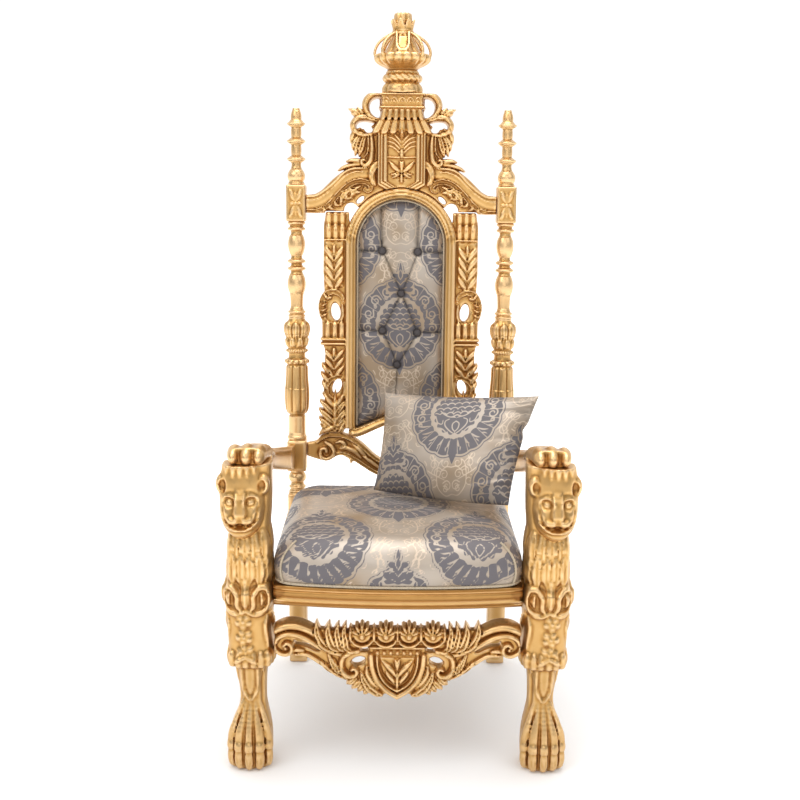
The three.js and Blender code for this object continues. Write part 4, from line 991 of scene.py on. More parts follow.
def moulded(parts):
    """Profile from bulges [z0, z1, r0, r1, rise]: straight run r0..r1 plus a half-sine swell."""
    rows = []
    for z0, z1, r0, r1, rise in parts:
        n = max(3, int(abs(z1 - z0) / 1.6))
        t = np.linspace(0, 1, n)
        rows.append(np.stack([z0 + (z1 - z0) * t, r0 + (r1 - r0) * t + rise * np.sin(np.pi * t) ** 0.8], 1))
    return np.vstack(rows)


def post_mesh():
    """Left back post in its own upright frame: spire, flower block, baluster, acanthus vase and foot.

    Turned profiles and two square blocks, leaned back together over an upright square leg.
    """
    spire = moulded([(1353, 1357, 22, 23, 0), (1357, 1362, 20, 19, 1), (1362, 1394, 20, 15, 6),
        (1394, 1410, 15, 13, -1), (1410, 1416, 13, 21, 0), (1416, 1424, 21, 21, 4), (1424, 1430, 21, 13, 0),
        (1430, 1457, 13, 13, 1), (1457, 1463, 13, 21, 0), (1463, 1471, 21, 21, 4), (1471, 1477, 21, 13, 0),
        (1477, 1503, 13, 13, 1), (1503, 1509, 13, 21, 0), (1509, 1516, 21, 21, 4), (1516, 1524, 21, 14, 0),
        (1524, 1546, 14, 11, 1.5), (1546, 1553, 11, 9.5, 0)])
    middle = moulded([(990, 996, 20, 22, 1), (996, 1003, 21, 21, 3), (1003, 1006, 21, 20, 0),
        (1006, 1014, 21, 21, 3.5), (1014, 1024, 20, 17, 0), (1024, 1060, 17, 19, -0.5),
        (1060, 1112, 19, 19, 6), (1112, 1122, 19, 16, -1), (1122, 1134, 18, 18, 7),
        (1134, 1142, 18, 15, -1), (1142, 1154, 18, 18, 7), (1154, 1162, 17, 15, -1),
        (1162, 1218, 15, 18, 7), (1218, 1230, 17, 16, -1), (1230, 1240, 20, 20, 4.5),
        (1240, 1246, 19, 19, 0), (1246, 1255, 21, 21, 3.5)])
    vase = moulded([(722, 730, 22, 27, 0), (730, 800, 29, 32, 2), (800, 866, 32, 29, -1),
        (866, 882, 30, 30, 4), (882, 898, 27, 26, -1), (898, 910, 26, 26, 4), (910, 950, 27, 30, 2),
        (950, 996, 30, 21, 6)])
    shaft = moulded([(650, 654, 25, 25, 1), (654, 668, 24, 24, 3), (668, 674, 24, 23.5, 0),
        (674, 722, 23.5, 23.5, 0)])
    foot = moulded([(496, 505, 24, 24, 0), (505, 513, 20, 20, 4), (513, 517, 20, 20, 0),
        (517, 525, 20, 20, 4), (525, 534, 20, 17, 0), (534, 562, 18, 18, 6.5), (562, 570, 18, 20, 0)])

    def acanthus(a, z):
        """Flutes, scallops, pearls and two rows of leaves: each share*|cos or sin|^power at its height."""
        wide = np.abs(np.cos(4 * a))
        narrow = np.abs(np.sin(4 * a))
        flutes = 0.15 * wide**0.6 * smooth(726, 742, z) * (1 - smooth(858, 867, z))
        scallops = 0.12 * np.abs(np.cos(6 * a)) ** 0.7 * smooth(867, 871, z) * (1 - smooth(878, 882, z))
        pearls = 0.12 * np.abs(np.cos(12 * a)) * smooth(898, 902, z) * (1 - smooth(906, 910, z))
        low = 0.17 * narrow**0.8 * smooth(911, 920, z) * (1 - smooth(936, 944, z + 12 * (1 - narrow)))
        high = 0.20 * wide**0.8 * smooth(936, 950, z) * (1 - smooth(978, 988, z + 14 * (1 - wide)))
        ribs = 0.03 * np.cos(24 * a) * smooth(915, 930, z) * (1 - smooth(970, 985, z))
        return 0.90 + flutes + scallops + pearls + low + high + ribs

    parts = [turned(p, 32) for p in (spire, middle, shaft, foot)] + [turned(vase, 96, acanthus)]
    panel = Relief(0, 27, 1254, 1353, FINE_CELL)
    panel.outline([(-30, 1255), (26, 1255), (26, 1352), (-30, 1352)])
    panel.raised([(-30, 1260), (20, 1260), (20, 1347), (-30, 1347)], -4, 2)
    for az in (1, -1):
        panel.stroke([[1, 1303 + az * 3, 5, 2], [8, 1303 + az * 18, 12, 4.5], [13, 1303 + az * 32, 9, 3.5],
            [16, 1303 + az * 40, 2, -1]], "leaf", solid=False)
    panel.stroke([[2, 1303, 5, 2], [9, 1303, 9, 4], [17, 1303, 2, 0]], "leaf", solid=False)
    panel.stroke([[0, 1306, 5, 2], [0, 1322, 8, 4], [0, 1338, 2, 0]], "leaf", solid=False)
    panel.stroke([[0, 1300, 5, 2], [0, 1284, 8, 4], [0, 1268, 2, 0]], "leaf", solid=False)
    panel.bead(0, 1303, 4.5, 6)
    v, f = plate_mesh(panel, 26.5, 26.5, edge_round=2.5)
    parts.append((v, f))
    plain = Relief(0, 27, 567, 655, 3.5)
    plain.outline([(-30, 567.5), (26.5, 567.5), (26.5, 654.5), (-30, 654.5)])
    v, f = plate_mesh(plain, 26.5, 26.5, edge_round=3)
    parts.append((v, f))
    verts, faces = joined(parts)
    verts = lean(verts)
    leg = Relief(0, 25, -2, 506, 6)
    leg.outline([(-30, 0), (24.6, 0), (24.6, 503), (-30, 503)])
    v, f = plate_mesh(leg, 24.6, 24.6, edge_round=3.5, rounds=0)
    v[:, 2] = np.maximum(v[:, 2], 0)
    v = v + [0, POST_Y, 0]
    return joined([(verts, faces), (v, f)])


def crown_mesh():
    """Crown: petal collar, rope ring, lobed bowl, hoops round a core, flower on top.

    The smallest of the distances to turned forms whose radius grows by |cos(n angle)|^power, and to a
    bent bar repeated every eighth of a turn.
    """
    h = BOARD_CELL
    x = np.arange(-80, 80 + h, h)
    z = np.arange(1590, 1803, h)
    X, Y, Z = np.meshgrid(x, x, z, indexing="ij")
    r = np.hypot(X, Y)
    a = np.arctan2(Y, X)

    def lathe(rows, grow=0.0):
        """Signed distance to a turned form with rows (height, radius), grown by a wave."""
        p = spline(rows, 6)
        radius = np.interp(z, p[:, 0], p[:, 1])
        return np.maximum((r - radius - grow) * 0.75, np.maximum(rows[0][0] - Z, Z - rows[-1][0]))

    collar = lathe([(1592.3, 52), (1598, 54), (1608, 53), (1616, 48), (1623, 40), (1626, 36)],
        5.0 * (np.abs(np.cos(3.5 * a + np.pi / 4)) ** 0.45 - 0.8) * smooth(1593, 1597, Z))
    twist = 2.8 * (np.abs(np.cos(9 * a + (Z - 1632) * 0.16)) ** 0.6 - 0.6)
    rope = np.hypot((r - 42) * 0.95, Z - 1632) - 10 - twist
    neck = lathe([(1620, 40), (1640, 41), (1645, 44), (1649, 44), (1651, 40), (1655, 40), (1657, 43),
        (1661, 43)])
    flute = np.abs(np.cos(9 * a)) ** 0.7
    bowl = lathe([(1656, 40), (1660, 47), (1667, 61), (1675, 71), (1683, 74), (1690, 73), (1694, 66)],
        6.0 * (flute - 0.75) * smooth(1658, 1670, Z))
    core = lathe([(1686, 60), (1694, 54), (1704, 44), (1716, 37), (1730, 30), (1744, 24), (1752, 22),
        (1757, 24)], 4.0 * (np.abs(np.cos(5 * a)) - 0.5))
    ring = np.minimum(np.hypot(r - 23, Z - 1755) - 4.4, np.hypot(r - 24, Z - 1747) - 3.4)
    tip = lathe([(1756, 21), (1762, 22), (1772, 23), (1784, 23), (1796, 22), (1799.5, 19)],
        3.6 * (np.abs(np.cos(4 * a)) ** 0.5 - 0.7) - 8 * smooth(1793, 1801, Z) * (r < 12))
    petal_z = 1757 + 27 * np.abs(np.cos(4 * a + 0.8)) ** 0.5
    petal = np.maximum(np.abs(r - (24 + (Z - 1757) * 0.26)) - 2.6, np.maximum(Z - petal_z, 1756 - Z))
    body = np.minimum.reduce([collar, rope, neck, bowl, core, ring, tip, petal])
    hoop_rows = spline([(69, 1684), (74, 1694), (72, 1708), (63, 1724), (46, 1738), (24, 1750)], 5)
    sector = np.pi / 4
    off = np.mod(a + sector / 2, sector) - sector / 2
    rr, tt = r * np.cos(off), r * np.sin(off)
    best = np.full(r.shape, 1e9)
    for (r0, z0), (r1, z1) in zip(hoop_rows[:-1], hoop_rows[1:]):
        dr, dz = r1 - r0, z1 - z0
        t = np.clip(((rr - r0) * dr + (Z - z0) * dz) / (dr * dr + dz * dz), 0, 1)
        best = np.minimum(best, (rr - r0 - t * dr) ** 2 + (Z - z0 - t * dz) ** 2)
    hoop = np.maximum(np.sqrt(best) - 3.6, np.abs(tt) - 4.2)
    fore = np.abs(a + np.pi / 2) < 0.5
    body = np.minimum(body, np.where(fore, 50, hoop))
    # front loop: a long frame with a round foot, leaning on the core
    front_y = -(62 - (Z - 1690) * 0.55)
    loop = np.maximum(np.abs(X) - 19 + np.maximum(0, 1716 - Z) ** 2 * 0.02, 1694 - Z)
    loop_in = np.maximum(np.abs(X) - 12.5 + np.maximum(0, 1718 - Z) ** 2 * 0.03, 1702 - Z)
    loop = np.maximum(np.maximum(loop, -loop_in), np.maximum(np.abs(Y - front_y) - 6, Z - 1750))
    inlay = np.maximum(np.maximum(loop_in + 1, np.abs(Y - front_y - 7) - 4), Z - 1738)
    body = np.minimum.reduce([body, loop, inlay])
    body = np.maximum(body, np.maximum(Z - 1799.8, 1592.3 - Z))
    verts, faces = skin(body.astype(np.float32), (x[0], x[0], z[0]), h)
    return lean(relax(verts, faces, 1)), faces


def ball(p, c, r):
    """Signed distance to an ellipsoid, about right near its surface."""
    q = [(p[n] - c[n]) / r[n] for n in range(3)]
    k = np.sqrt(q[0] ** 2 + q[1] ** 2 + q[2] ** 2)
    return (k - 1) * min(r)


def bone(p, a, b, ra, rb):
    """Signed distance to a round bar from a to b with radii ra and rb."""
    d = [b[n] - a[n] for n in range(3)]
    t = np.clip(sum((p[n] - a[n]) * d[n] for n in range(3)) / sum(v * v for v in d), 0, 1)
    return np.sqrt(sum((p[n] - a[n] - t * d[n]) ** 2 for n in range(3))) - (ra + (rb - ra) * t)


def lion_front():
    """Carving on the front of the right leg, x from the leg's centre outwards."""
    r = Relief(-68, 68, -4, 760, FACE_CELL)
    for x, top, low, w in ((-40, 590, 520, 24), (44, 590, 520, 24), (-20, 592, 512, 28), (24, 592, 514, 28),
            (2, 594, 506, 30), (-46, 536, 470, 22), (48, 538, 470, 22), (-30, 540, 462, 27),
            (-8, 534, 466, 28), (14, 536, 464, 28), (34, 540, 464, 27)):
        r.inner_leaf([[x * 0.92, top, w * 0.45, 6], [x, top - (top - low) * 0.3, w * 0.9, 12],
            [x * 1.02, low + (top - low) * 0.34, w, 13], [x * 0.98, low + 8, w * 0.45, 8],
            [x * 0.96, low - 2, 3, 3]])
        r.groove([[x - w * 0.22, top - 20, 2.4, 2.5], [x - w * 0.26, low + 26, 2.4, 3], [x, low + 8, 2, 1]])
        r.groove([[x + w * 0.24, top - 16, 2.4, 2.5], [x + w * 0.26, low + 30, 2.4, 3], [x, low + 8, 2, 1]])
    for x, turn in ((-36, 1), (42, -1)):
        r.inner_roll([[x + turn * 30, 400, 8, 8], [x + turn * 20, 416, 13, 12], [x + turn * 20, 440, 14,
            14], [x + turn * 8, 458, 16, 15], [x - turn * 9, 458, 17, 15], [x - turn * 18, 442, 16, 15],
            [x - turn * 16, 420, 14, 14], [x - turn * 4, 404, 13, 13], [x + turn * 14, 398, 12, 11]])
        r.inner_leaf([[x + turn * 2, 444, 6, 12], [x - turn * 1, 432, 13, 16], [x + turn * 2, 418, 6, 11]])
    r.inner_roll([[3, 478, 12, 10], [3, 460, 20, 14], [3, 436, 21, 15], [3, 418, 16, 13], [3, 410, 6, 7]])
    r.groove([[-2, 468, 3, 5], [-2, 420, 3, 5]], per=2)
    r.groove([[8, 468, 3, 5], [8, 420, 3, 5]], per=2)
    for x in (-22, 28):
        r.line([[x - 24, 402, 8, 8], [x - 8, 394, 11, 11], [x + 8, 394, 11, 11], [x + 24, 402, 8, 8]])
    for x, z, reach in ((9, 376, 21), (7, 338, 21), (4, 303, 21)):
        r.flower(x, z, reach, 11, 5, 1.57 + 0.2 * (z - 376) / 38)
        r.bead(x, z, 6.5, 12)
        r.bead(x, z, 3, 14)
    for k, x in enumerate((-48, -32, -14, 4, 22, 40, 54)):
        r.inner_roll([[x * 0.96, 300, 8, 7], [x, 286, 17, 10], [x, 272 - 3 * (k % 2), 17, 11],
            [x, 264, 12, 9]])
    for x in (-24, 34):
        r.inner_leaf([[4, 292, 8, 10], [(x + 4) / 2, 284, 16, 13], [x, 274, 5, 8]])
    for x, s in ((-46, 1), (50, -1)):
        r.inner_leaf([[x, 390, 6, 5], [x + 3 * s, 364, 11, 8], [x, 338, 12, 8], [x - 2 * s, 312, 6, 5]])
    r.line([[-22, 264, 5, 6], [-22, 224, 5, 6], [-18, 194, 5, 6], [-3, 174, 5, 6], [12, 194, 5, 6],
        [16, 224, 5, 6], [16, 264, 5, 6]])
    r.groove([[-15, 262, 3, 6], [-15, 224, 3, 6], [-12, 200, 3, 6], [-3, 186, 3, 6], [6, 200, 3, 6],
        [9, 224, 3, 6], [9, 262, 3, 6]])
    for x in (-31, 25):
        r.groove([[x, 260, 4, 5], [x * 0.95, 210, 4, 6], [x, 160, 3, 3]])
    return r


def lion_side():
    """Carving on the sides of the leg: y from the face backwards."""
    r = Relief(FACE_Y - 30, FACE_Y + 125, -4, 760, 2.2)
    f = FACE_Y
    for y, top, low, w in ((f + 18, 592, 512, 26), (f + 42, 594, 506, 28), (f + 66, 590, 510, 28),
            (f + 90, 586, 520, 26), (f + 30, 534, 464, 27), (f + 54, 536, 462, 27), (f + 78, 536, 466, 26)):
        r.inner_leaf([[y, top, w * 0.45, 5], [y + 3, top - 26, w * 0.9, 10], [y, low + 24, w, 11],
            [y - 2, low, 3, 3]])
    r.inner_roll([[f + 92, 462, 8, 7], [f + 70, 468, 15, 12], [f + 44, 456, 16, 13], [f + 34, 432, 15, 13],
        [f + 44, 410, 14, 13], [f + 64, 406, 13, 12], [f + 74, 422, 11, 12], [f + 64, 434, 10, 12]])
    for y, z in ((f + 16, 394), (f + 32, 374), (f + 48, 354), (f + 64, 334), (f + 80, 316)):
        r.inner_leaf([[y + 38, z - 66, 7, 5], [y + 26, z - 36, 18, 11], [y + 8, z - 6, 15, 10],
            [y - 4, z + 8, 3, 3]])
    for k in range(6):
        y = f + k * 18
        r.inner_roll([[y, 300, 8, 5], [y, 284, 17, 9], [y, 268, 14, 8]])
    for y in (f + 18, f + 36, f + 54):
        r.groove([[y, 258, 5, 6], [y, 200, 5, 7], [y, 150, 4, 4]])
    return r


LION_ROWS = np.array([[0, 0, 36, 42, 40], [6, 0, 36, 48, 44], [30, 0, 37, 51, 45], [66, -1, 37, 51, 45],
    [92, -2, 38, 49, 43], [112, -3, 39, 45, 40], [140, -6, 41, 36, 36], [165, -7, 42, 31.5, 35],
    [190, -7, 43, 31.5, 35], [225, -5, 42, 35, 38], [256, -4, 42, 40, 42], [262, -4, 43, 47, 48],
    [268, -5, 44, 52, 51], [292, -5, 44, 54, 52], [340, -3, 46, 52, 49], [400, -3, 48, 54, 49],
    [424, -1, 48, 57, 52], [446, -1, 48, 57, 52], [462, -3, 50, 52, 47], [520, -4, 52, 49.5, 47],
    [564, -5, 54, 48, 46], [600, -6, 60, 46, 48], [640, -7, 62, 48, 47], [700, -8, 62, 49, 46],
    [760, -11, 61, 47, 43]], float)


FACE_WIDTH = ((580, 12), (585, 26), (592, 35), (604, 44), (622, 50), (645, 53), (670, 53), (700, 51),
    (725, 49), (752, 44))


FACE_DEPTH = ((580, 4), (586, 13), (596, 19), (614, 22), (632, 21), (650, 16), (670, 11), (690, 8),
    (712, 5), (752, -3))


def lion_face():
    """Height map of the face, x from its middle: sockets, eyes, bridge, muzzle, open smile and mane."""
    r = Relief(-56, 56, 578, 756, FACE_CELL)
    x, z = np.abs(r.X), r.Z
    top = 8.0 * smooth(13.5, 10.5, x) * smooth(702, 674, z) * smooth(622, 628, z)
    top -= 7.5 * smooth(642, 628, z) * smooth(13.5, 10, x) * smooth(622, 628, z)
    eye = np.hypot((x - 25) / 1.08, z - 667)
    top += -7.5 * smooth(14.5, 7, eye) * (x > 11.5) + 8.5 * np.sqrt(np.clip(1 - (eye / 7.6) ** 2, 0, 1))
    top += 2.8 * np.exp(-((eye - 10.5) / 1.7) ** 2) * smooth(674, 662,
        z) + 3.4 * np.exp(-((eye - 15.5) / 2.6) ** 2) * smooth(660, 674, z)
    top -= 2.0 * np.exp(-((eye - 3.2) / 1.0) ** 2)
    top += 4.5 * np.exp(-(((x - 34) / 11) ** 2
        + ((z - 644) / 14) ** 2)) + 6.5 * np.exp(-(((x - 17) / 12) ** 4 + ((z - 627) / 7) ** 4))
    top += 3.0 * np.exp(-(((x - 8.5) / 5) ** 2 + ((z - 629) / 5) ** 2))
    top -= 15 * np.exp(-((x / 9.5) ** 4 + ((z - 615) / 5.5) ** 4)) + 4 * np.exp(-(((x - 6) / 2.2) ** 2
        + ((z - 628) / 2) ** 2))
    top -= 8 * np.exp(-(((x - 25 - (z - 616) * 0.8) / 9) ** 4 + ((z - 617 - (x - 24) * 0.5) / 3.6) ** 4))
    r.top = top
    lip = [[-44, 650, 5, 2], [-42, 630, 6, 4], [-32, 614, 7, 5], [-16, 606, 7, 5.5], [0, 604.5, 7, 5.5]]
    lip += [[-a, b, c, d] for a, b, c, d in lip[-2::-1]]
    r.groove([[a * 1.13, b - 7, 4, 3.0] for a, b, c, d in lip])
    r.groove([[a * 0.9, b + 6, 4, 4.5] for a, b, c, d in lip])
    for rows in (lip, *([[s * 12.5, 664, 2.5, 1.5], [s * 13, 650, 3.4, 4], [s * 13.5, 640, 2.5, 2]]
            for s in (-1, 1)), *([[s * 26, 623, 5, 2], [s * 26, 617, 6, 7], [s * 26, 610, 4, 5]]
            for s in (-1, 1))):
        high = Relief(-56, 56, 578, 756, FACE_CELL)
        high.line(rows)
        r.top = r.top + np.maximum(high.top, 0)
    for s in (-1, 1):
        r.groove([[s * 2, 687, 2.6, 2.2], [s * 14, 693, 2.6, 2.4], [s * 27, 692, 2.6, 2.2],
            [s * 38, 683, 2.4, 1.2]])
    points = np.abs(np.mod(r.X + 8, 16) - 8) / 8
    edge = 724 + 24 * points + 0.006 * r.X**2
    r.top = r.top + 5.0 * smooth(edge - 1, edge + 3, z) - 2.2 * np.exp(-((z - edge - 6) / 1.6) ** 2)
    return r


def lion_mesh():
    """Right lion leg as one smooth field in mm from the leg's centre: paw, shin, knee, chest and head.

    Each level is a rounded square, |u|^2.8 + |v|^2.8 = 1 over its half sizes, grown by the carved
    heights of its front and sides. Toes, ears and creases are round bars and ellipsoids blended in by
    soft_min.
    """
    h = LION_CELL
    x = np.arange(-66, 72, h)
    y = np.arange(FACE_Y - 36, FACE_Y + 118, h)
    z = np.arange(-2, 752 + h, h)
    rows = spline(LION_ROWS, 6)
    cx, cy, hx, hy = (np.interp(z, rows[:, 0], rows[:, n]) for n in range(1, 5))
    X, Y, Z = np.meshgrid(x, y, z, indexing="ij")
    q = 2.8
    u = (X - cx) / hx
    v = (Y - FACE_Y - cy) / hy
    k = (np.abs(u) ** q + np.abs(v) ** q) ** (1 / q)
    front, side = lion_front(), lion_side()

    def read(r, p, q2):
        """Softened heights of a relief at each pair of places."""
        i = np.clip(np.round((p - r.x[0]) / r.step).astype(int), 0, len(r.x) - 1)
        j = np.clip(np.round((q2 - r.z[0]) / r.step).astype(int), 0, len(r.z) - 1)
        soft = r.top
        for axis in (0, 1):
            soft = (np.roll(soft, 1, axis) + 2 * soft + np.roll(soft, -1, axis)) / 4
        return soft[i[:, None], j[None, :]]

    facing = smooth(0.2, 0.7, -v) * smooth(1.12, 0.84, np.abs(u))
    flank = smooth(0.4, 0.85, np.abs(u)) * smooth(1.05, 0.8, np.abs(v))
    raise_front = read(front, x, z)[:, None, :]
    raise_side = read(side, y, z)[None, :, :]
    field = (k - 1) * np.minimum(hx, hy) - 0.72 * raise_front * facing - 0.55 * raise_side * flank
    del u, k, facing, flank
    p = (X, Y - FACE_Y, Z)

    def blend(shape, box, amount, cut=False):
        """Blends a shape into the field inside a box (x0, x1, y0, y1, z0, z1)."""
        i = np.searchsorted(x, box[0:2])
        j = np.searchsorted(y - FACE_Y, box[2:4])
        m = np.searchsorted(z, box[4:6])
        win = (slice(*i), slice(*j), slice(*m))
        d = shape([c[win] for c in p])
        if cut:
            field[win] = -soft_min(-field[win], d, amount)
        else:
            field[win] = soft_min(field[win], d, amount)

    def chain(points, box, amount, cut=False):
        """Bars through a list of (x, y, z, radius), blended one after another."""
        pts = spline(points, 4)
        for a, b in zip(pts[:-1], pts[1:]):
            blend(lambda c: bone(c, a[:3], b[:3], a[3], b[3]), box, amount, cut)

    # head: a domed block with the face as a height map, turned a little outwards
    middle = 9.0
    wide = np.interp(z, *zip(*FACE_WIDTH))[None, :]
    deep = np.interp(z, *zip(*FACE_DEPTH))[None, :]
    across = (x - middle)[:, None] / wide
    dome = np.sqrt(np.clip(1 - np.abs(across) ** 2.3, 0, 1))
    relief = read(lion_face(), x - middle - 4 * dome.mean(), z)
    front_y = 34 - (34 + deep) * dome - relief * smooth(0.05, 0.55, dome) - 0.05 * (x[:, None] - middle)
    head = np.maximum((front_y[:, None, :] - p[1]) * 0.72, ((np.abs(across) - 1) * wide)[:, None, :])
    head = np.maximum(head, np.maximum(580 - Z, p[1] - 60))
    field = soft_min(field, head, 3.0)
    for s in (-1, 1):
        ear = 7 + s * 47
        eb = (-66, 72, -10, 70, 655, 745)
        blend(lambda c: ball(c, (ear, 24, 703), (14.5, 18, 24)), eb, 3)
        blend(lambda c: ball(c, (ear - s * 1.5, 4, 702), (10, 13, 18)), eb, 1.8, cut=True)
    # paw: five toes with tendons above, knuckle creases and claws
    paw = (-66, 72, -34, 110, -2, 190)
    toes = ((42, 8, 10.5), (23, -5, 11.5), (0, -9, 12.5), (-24, -6, 12.5), (-44, 8, 10.5))
    for tx, ty, w in toes:
        chain([(tx * 0.42 - 4, 12, 172, w * 0.34), (tx * 0.66 - 2, 8 + ty * 0.3, 136, w * 0.62),
            (tx * 0.92, 3 + ty * 0.6, 96, w * 0.92), (tx, ty + 2, 70, w)], paw, 3)
        chain([(tx, ty - 1, 66, w + 1), (tx, ty - 2, 56, w + 1)], paw, 1.6)
        chain([(tx, ty - 1, 44, w * 0.98), (tx, ty - 2, 28, w), (tx * 0.97, ty, 13, w * 0.9)], paw, 1.8)
        blend(lambda c: bone(c, (tx - w, ty - w - 1.5, 76), (tx + w, ty - w - 1.5, 74), 2.2, 2.2), paw, 1.2,
            cut=True)
        blend(lambda c: bone(c, (tx - w, ty - w - 2, 50), (tx + w, ty - w - 2, 48), 2.6, 2.6), paw, 1.2,
            cut=True)
        for side in (-1, 1):
            blend(lambda c: bone(c, (tx + side * 5, ty - w - 2, 34), (tx + side * 4, ty - w - 0.5, 4), 2.0,
                1.8), paw, 1.0, cut=True)
    for a, b in ((33, 2), (12, -11), (-12, -11), (-34, 2)):
        chain([(a, b - 3, 0, 3.6), (a, b - 4, 60, 3.8), (a * 0.92, b + 1, 96, 3.4),
            (a * 0.6 - 2, b * 0.4 + 4, 150, 2.4)], paw, 2.2, cut=True)
    for s in (-1, 1):
        for ty in (30, 54):
            chain([(-2 + s * 53, ty, 6, 2.6), (-2 + s * 54, ty, 60, 2.6), (-2 + s * 46, ty, 110, 1.6)], paw,
                2, cut=True)
    field = np.maximum(field, np.maximum(0.2 - Z, Z - 749.6)).astype(np.float32)
    verts, faces = skin(field, (x[0], y[0], z[0]), h)
    verts = relax(verts, faces, 2)
    verts[:, 2] = np.clip(verts[:, 2], 0, 749.7)
    return verts + [LEG_X, 0, 0], faces


def arm_mesh():
    """Right arm: three lobes at the hand, then a bar sweeping down and out to the post.

    Its section is |u|^3.2 + |v|^3.2 = 1 over half sizes that change with y, less two grooves along the
    top.
    """
    h = LION_CELL
    x = np.arange(-62, 56, h)
    y = np.arange(FACE_Y - 14, POST_Y, h)
    z = np.arange(560, 800 + h, h)
    rows = spline([[-292, -4, 770, 40, 20], [-244, -9, 764, 40, 19], [-194, -17, 751, 35, 25],
        [-120, -14, 724, 30, 27], [-50, -8, 702, 27, 27], [50, -11, 671, 26, 29], [150, -32, 642, 25, 31],
        [270, -67, 612, 25, 35], [300, -70, 606, 25, 36]], 6)
    cx, cz, hx, hz = (np.interp(y, rows[:, 0], rows[:, n])[None, :, None] for n in range(1, 5))
    X, Y, Z = np.meshgrid(x, y, z, indexing="ij")
    q = 3.2
    k = ((np.abs(X - cx) / hx) ** q + (np.abs(Z - cz) / hz) ** q) ** (1 / q)
    field = np.maximum((k - 1) * 25, FACE_Y + 14 - Y)
    groove = 3.0 * np.exp(-((np.abs(X - cx) / hx - 0.62) / 0.09) ** 2) * (Z > cz) * smooth(-200, -150, Y)
    field = field + groove * 0.6
    p = (X, Y - FACE_Y, Z)
    for lx, w, top in ((-31, 15.0, 21), (-3, 17.5, 24), (27, 15.0, 21)):
        d = soft_min(ball(p, (lx, 36, 769), (w, 42, top)), bone(p, (lx, 44, 770), (lx * 0.72 - 5, 108, 757),
            w, w * 0.85), 8)
        field = soft_min(field, d, 1.8)
    for side in (-1, 1):
        for n in range(3):
            a0 = (side * 34 - 14 + side * 2, 112 + n * 26, 760 - n * 9)
            b0 = (side * 30 - 14, 146 + n * 26, 744 - n * 11)
            field = soft_min(field, bone(p, a0, b0, 3.2, 5.6), 2.2)
    lean_y = POST_Y - 27 + (Z - RAIL_TOP) * math.tan(RECLINE) - 1.2
    field = np.maximum(field, Y - lean_y)
    field = np.maximum(field, np.where(Y < FACE_Y + 110, 750.2 - Z, -50))
    verts, faces = skin(field.astype(np.float32), (x[0], y[0], z[0]), h)
    return relax(verts, faces, 1) + [LEG_X, 0, 0], faces


def bow(x):
    """How far the front rail bows forward: 24*(1 - (x/half)^2)."""
    return 24 * (1 - (x / 289.0) ** 2)


def front_rail_mesh():
    """Moulded section run along the forward bow, y = face + 16 - bow(x)."""
    section = spline([(38, 0.4), (0, 0.4), (-4.5, 1.2), (-7.6, 4), (-7.4, 8), (-3.6, 10.4), (-2.6, 13),
        (-4.2, 19), (-9.5, 25.5), (-12.2, 31), (-12.4, 35), (-10, 38.4), (-6, 39.4), (-5.6, 42), (-6.6, 45),
        (-4, 47.5), (0, 47.7), (38, 47.7)], 4)
    ring = np.vstack([section, [(38, 30), (38, 16)]])
    x = np.linspace(-288.6, 288.6, 60)
    rings = np.stack([np.stack([np.full(len(ring), v), FACE_Y + 16 + ring[:, 0] - bow(v), 414 + ring[:, 1]],
        1) for v in x])
    return tube(rings)


def bar_mesh(low, high):
    """Plain rail between two corners, its section |x|^14 + |z|^14 = 1 with eased ends."""
    low, high = np.asarray(low, float), np.asarray(high, float)
    a = np.linspace(0, 2 * np.pi, 32, endpoint=False)
    size = (high - low) / 2
    k = (np.abs(np.cos(a)) ** 14 + np.abs(np.sin(a)) ** 14) ** (-1 / 14)
    long_axis = int(np.argmax(size))
    others = [n for n in range(3) if n != long_axis]
    if long_axis == 1:
        others = others[::-1]
    t = np.array([-1, -1 + 3.0 / size[long_axis], 0, 1 - 3.0 / size[long_axis], 1])
    shrink = np.array([0.96, 1, 1, 1, 0.96])
    rings = np.zeros((5, 32, 3))
    rings[:, :, long_axis] = t[:, None] * size[long_axis]
    rings[:, :, others[0]] = shrink[:, None] * (np.cos(a) * k)[None] * size[others[0]]
    rings[:, :, others[1]] = shrink[:, None] * (np.sin(a) * k)[None] * size[others[1]]
    return tube(rings + (low + high) / 2)


def rope_mesh(path, radius, step=1.6):
    """Twisted cord along a path: three strands, radius*(0.9+0.16cos(3a - 2 pi s/7))."""
    p = np.asarray(path, float)
    seg = np.linalg.norm(np.diff(p, axis=0), axis=1)
    run = np.concatenate([[0], np.cumsum(seg)])
    s = np.linspace(0, run[-1], int(run[-1] / step))
    p = np.stack([np.interp(s, run, p[:, n]) for n in range(3)], 1)
    t = np.gradient(p, axis=0)
    t /= np.linalg.norm(t, axis=1)[:, None]
    up = np.where(np.abs(t[:, 2:3]) > 0.8, [[1.0, 0, 0]], [[0, 0, 1.0]])
    n = np.cross(up, t)
    n /= np.linalg.norm(n, axis=1)[:, None]
    b = np.cross(t, n)
    a = np.linspace(0, 2 * np.pi, 12, endpoint=False)
    r = radius * (0.9 + 0.16 * np.cos(3 * a[None] - 2 * np.pi * s[:, None] / 7.0))
    rings = p[:, None] + r[..., None] * (np.cos(a)[None, :, None] * n[:, None] + np.sin(a)[None, :, None]
        * b[:, None])
    return tube(rings)


